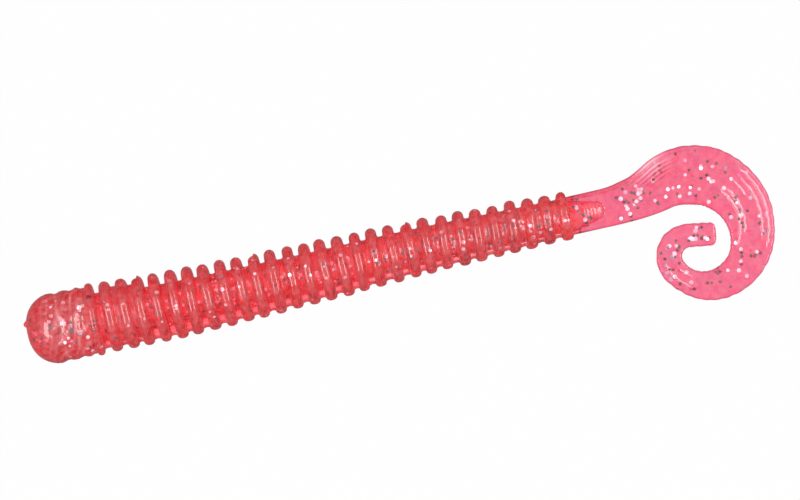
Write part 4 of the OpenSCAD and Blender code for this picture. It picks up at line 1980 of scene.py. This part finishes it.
@dataclass(frozen=True)
class SoftBox:
    """A soft rectangular lamp that faces the middle of the picture.

    Attributes:
        name: name of the lamp.
        away: where it hangs from the picture's centre, in metres.
        size: its width and length in metres.
        watts: its power.
    """

    name: str
    away: tuple[float, float, float]
    size: tuple[float, float] = (0.1, 0.34)
    watts: float = 0.88

    def hang(self, centre: tuple[float, float, float]) -> None:
        """Put the lamp in the scene.

        Args:
            centre: frame point, in metres, that it faces.
        """
        data = bpy.data.lights.new(self.name, "AREA")
        data.shape = "RECTANGLE"
        data.size, data.size_y = self.size
        data.energy = self.watts
        x, y, z = self.away
        obj = bpy.data.objects.new(self.name, data)
        obj.location = tuple(c + a for c, a in zip(centre, self.away))
        obj.rotation_euler = (0, math.atan2(math.hypot(x, y), z), math.atan2(y, x))
        bpy.context.scene.collection.objects.link(obj)


@dataclass(frozen=True)
class Studio:
    """White floor, soft light and a camera straight above the worm, turned as the photograph is.

    Attributes:
        centre: frame point, in metres, under the middle of the picture.
        width: width of the picture at the height of the body's axis, in metres.
        roll: how far the body's axis rises to the right in the picture, in degrees.
        lens: focal length in millimetres.
        sensor: width of the camera's sensor in millimetres.
        clip: nearest and farthest distance that the camera sees, in metres.
        floor_size: side of the floor in metres.
        floor_grey: brightness of the floor's own surface.
        floor_rough: roughness of that surface.
        floor_seen: how white the floor is to each kind of ray.
        painted_red_reflection: painted reflection: what the worm's skin mirrors of the floor, red in place
        of the light that shines through the worm.
        room_seen: least brightness of the room to each kind of ray.
        room_level: brightness of the room's sides.
        ceiling_level: brightness of its ceiling.
        ceiling_from: height of a direction, 1 straight up, at which the ceiling starts.
        ceiling_to: height of a direction at which it is at its brightest.
        lamps: the soft boxes.
        bounces: how often light goes through or off a surface.
        clear_bounces: how often it goes through a clear seam.
    """

    centre: tuple[float, float, float] = (0.00073, 0.00466, 0.0041)
    width: float = 0.0934
    roll: float = 12.78
    lens: float = 200.0
    sensor: float = 36.0
    clip: tuple[float, float] = (0.01, 50.0)
    floor_size: float = 4.0
    floor_grey: float = 0.2
    floor_rough: float = 0.9
    floor_seen: tuple[tuple[str, float], ...] = (("Is Camera Ray", 0.99), ("Is Transmission Ray", 0.68))
    painted_red_reflection: Colour = (0.4, 0.13, 0.14)
    room_seen: tuple[tuple[str, float], ...] = (("Is Camera Ray", 1.0), ("Is Transmission Ray", 0.65))
    room_level: float = 0.4
    ceiling_level: float = 0.7
    ceiling_from: float = 0.8
    ceiling_to: float = 0.97
    lamps: tuple[SoftBox, ...] = (
        SoftBox("tail_strip", (0.24, 0.0, 0.265)), SoftBox("nose_strip", (-0.24, 0.0, 0.265)))
    bounces: int = 48
    clear_bounces: int = 24

    def camera(self) -> None:
        """Place the camera and make it the scene's own."""
        data = bpy.data.cameras.new("camera")
        data.lens = self.lens
        data.sensor_width = self.sensor
        data.clip_start, data.clip_end = self.clip
        obj = bpy.data.objects.new("camera", data)
        x, y, z = self.centre
        obj.location = (x, y, z + self.width * self.lens / self.sensor)
        obj.rotation_euler = (0, 0, -math.radians(self.roll))
        bpy.context.scene.collection.objects.link(obj)
        bpy.context.scene.camera = obj

    @staticmethod
    def _seen(graph: Graph, shares: tuple[tuple[str, float], ...]) -> bpy.types.NodeSocket:
        """Give each kind of ray its own share, and 0 to the kinds that aren't named.

        Args:
            graph: graph that the output is in.
            shares: name of each kind's output on the light path node, and its share.

        Returns:
            The output with the largest of the shares that a ray has.
        """
        path = graph.add("LightPath")
        parts = [graph.math("MULTIPLY", path.outputs[name], share) for name, share in shares]
        return reduce(lambda a, b: graph.math("MAXIMUM", a, b), parts)

    def floor(self) -> None:
        """Lay the floor: mostly white to the camera, a painted red reflection in the worm's skin, else pale.
        """
        mat = bpy.data.materials.new("white_floor")
        mat.use_nodes = True
        graph = Graph(mat.node_tree)
        nodes = mat.node_tree.nodes
        pale = nodes["Principled BSDF"]
        graph.wire(pale, {"Base Color": (self.floor_grey, self.floor_grey, self.floor_grey, 1),
                          "Roughness": self.floor_rough, "Specular IOR Level": 0.0})
        path = graph.add("LightPath")
        # Painted reflection: rays mirrored off the worm's skin see the floor red, in place of the light that
        # shines through the worm onto it.
        painted_reflection_mask = graph.math("MULTIPLY", path.outputs["Is Glossy Ray"], path.outputs["Is Reflection Ray"])
        white = graph.add("Emission", {"Color": graph.mix(painted_reflection_mask, (*WHITE, 1), (*self.painted_red_reflection, 1))})
        share = graph.math("MAXIMUM", self._seen(graph, self.floor_seen), painted_reflection_mask)
        shader = graph.blend(share, pale.outputs["BSDF"], white.outputs["Emission"])
        graph.wire(nodes["Material Output"], {"Surface": shader})
        half = self.floor_size / 2
        corners = np.array([(-half, -half, 0), (half, -half, 0), (half, half, 0), (-half, half, 0)])
        link_mesh("floor", corners, [[0, 1, 2, 3]], mat)

    def world(self) -> None:
        """White to the camera, pale through the plastic, and else a grey room with a bright ceiling."""
        world = bpy.data.worlds.new("studio")
        bpy.context.scene.world = world
        world.use_nodes = True
        graph = Graph(world.node_tree)
        coords = graph.add("TexCoord").outputs["Generated"]
        height = graph.add("SeparateXYZ", {"Vector": coords}).outputs["Z"]
        room = graph.scale(height, (self.ceiling_from, self.ceiling_to),
                           (self.room_level, self.ceiling_level))
        strength = graph.math("MAXIMUM", room, self._seen(graph, self.room_seen))
        graph.wire(world.node_tree.nodes["Background"], {"Color": (*WHITE, 1), "Strength": strength})

    def build(self) -> None:
        """Set up camera, floor, world, lamps and how the scene is shown."""
        scene = bpy.context.scene
        scene.view_settings.view_transform = "Standard"
        cycles = scene.cycles
        cycles.max_bounces = self.bounces
        cycles.transmission_bounces = self.bounces
        cycles.glossy_bounces = self.bounces
        cycles.transparent_max_bounces = self.clear_bounces
        self.camera()
        self.floor()
        self.world()
        for lamp in self.lamps:
            lamp.hang(self.centre)


def main() -> None:
    """Build the studio and the worm, and log the number of faces of each piece."""
    logging.basicConfig(level=logging.INFO)
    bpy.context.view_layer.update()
    Studio().build()
    body = BodyForm()
    worm = Worm(Seat.from_frame(), body, FlakeSet(body), (THICK_PLASTIC, THIN_PLASTIC))
    for piece in worm.build():
        LOG.info("%s: %d faces", piece.name, len(piece.data.polygons))


if __name__ == "__main__":
    main()
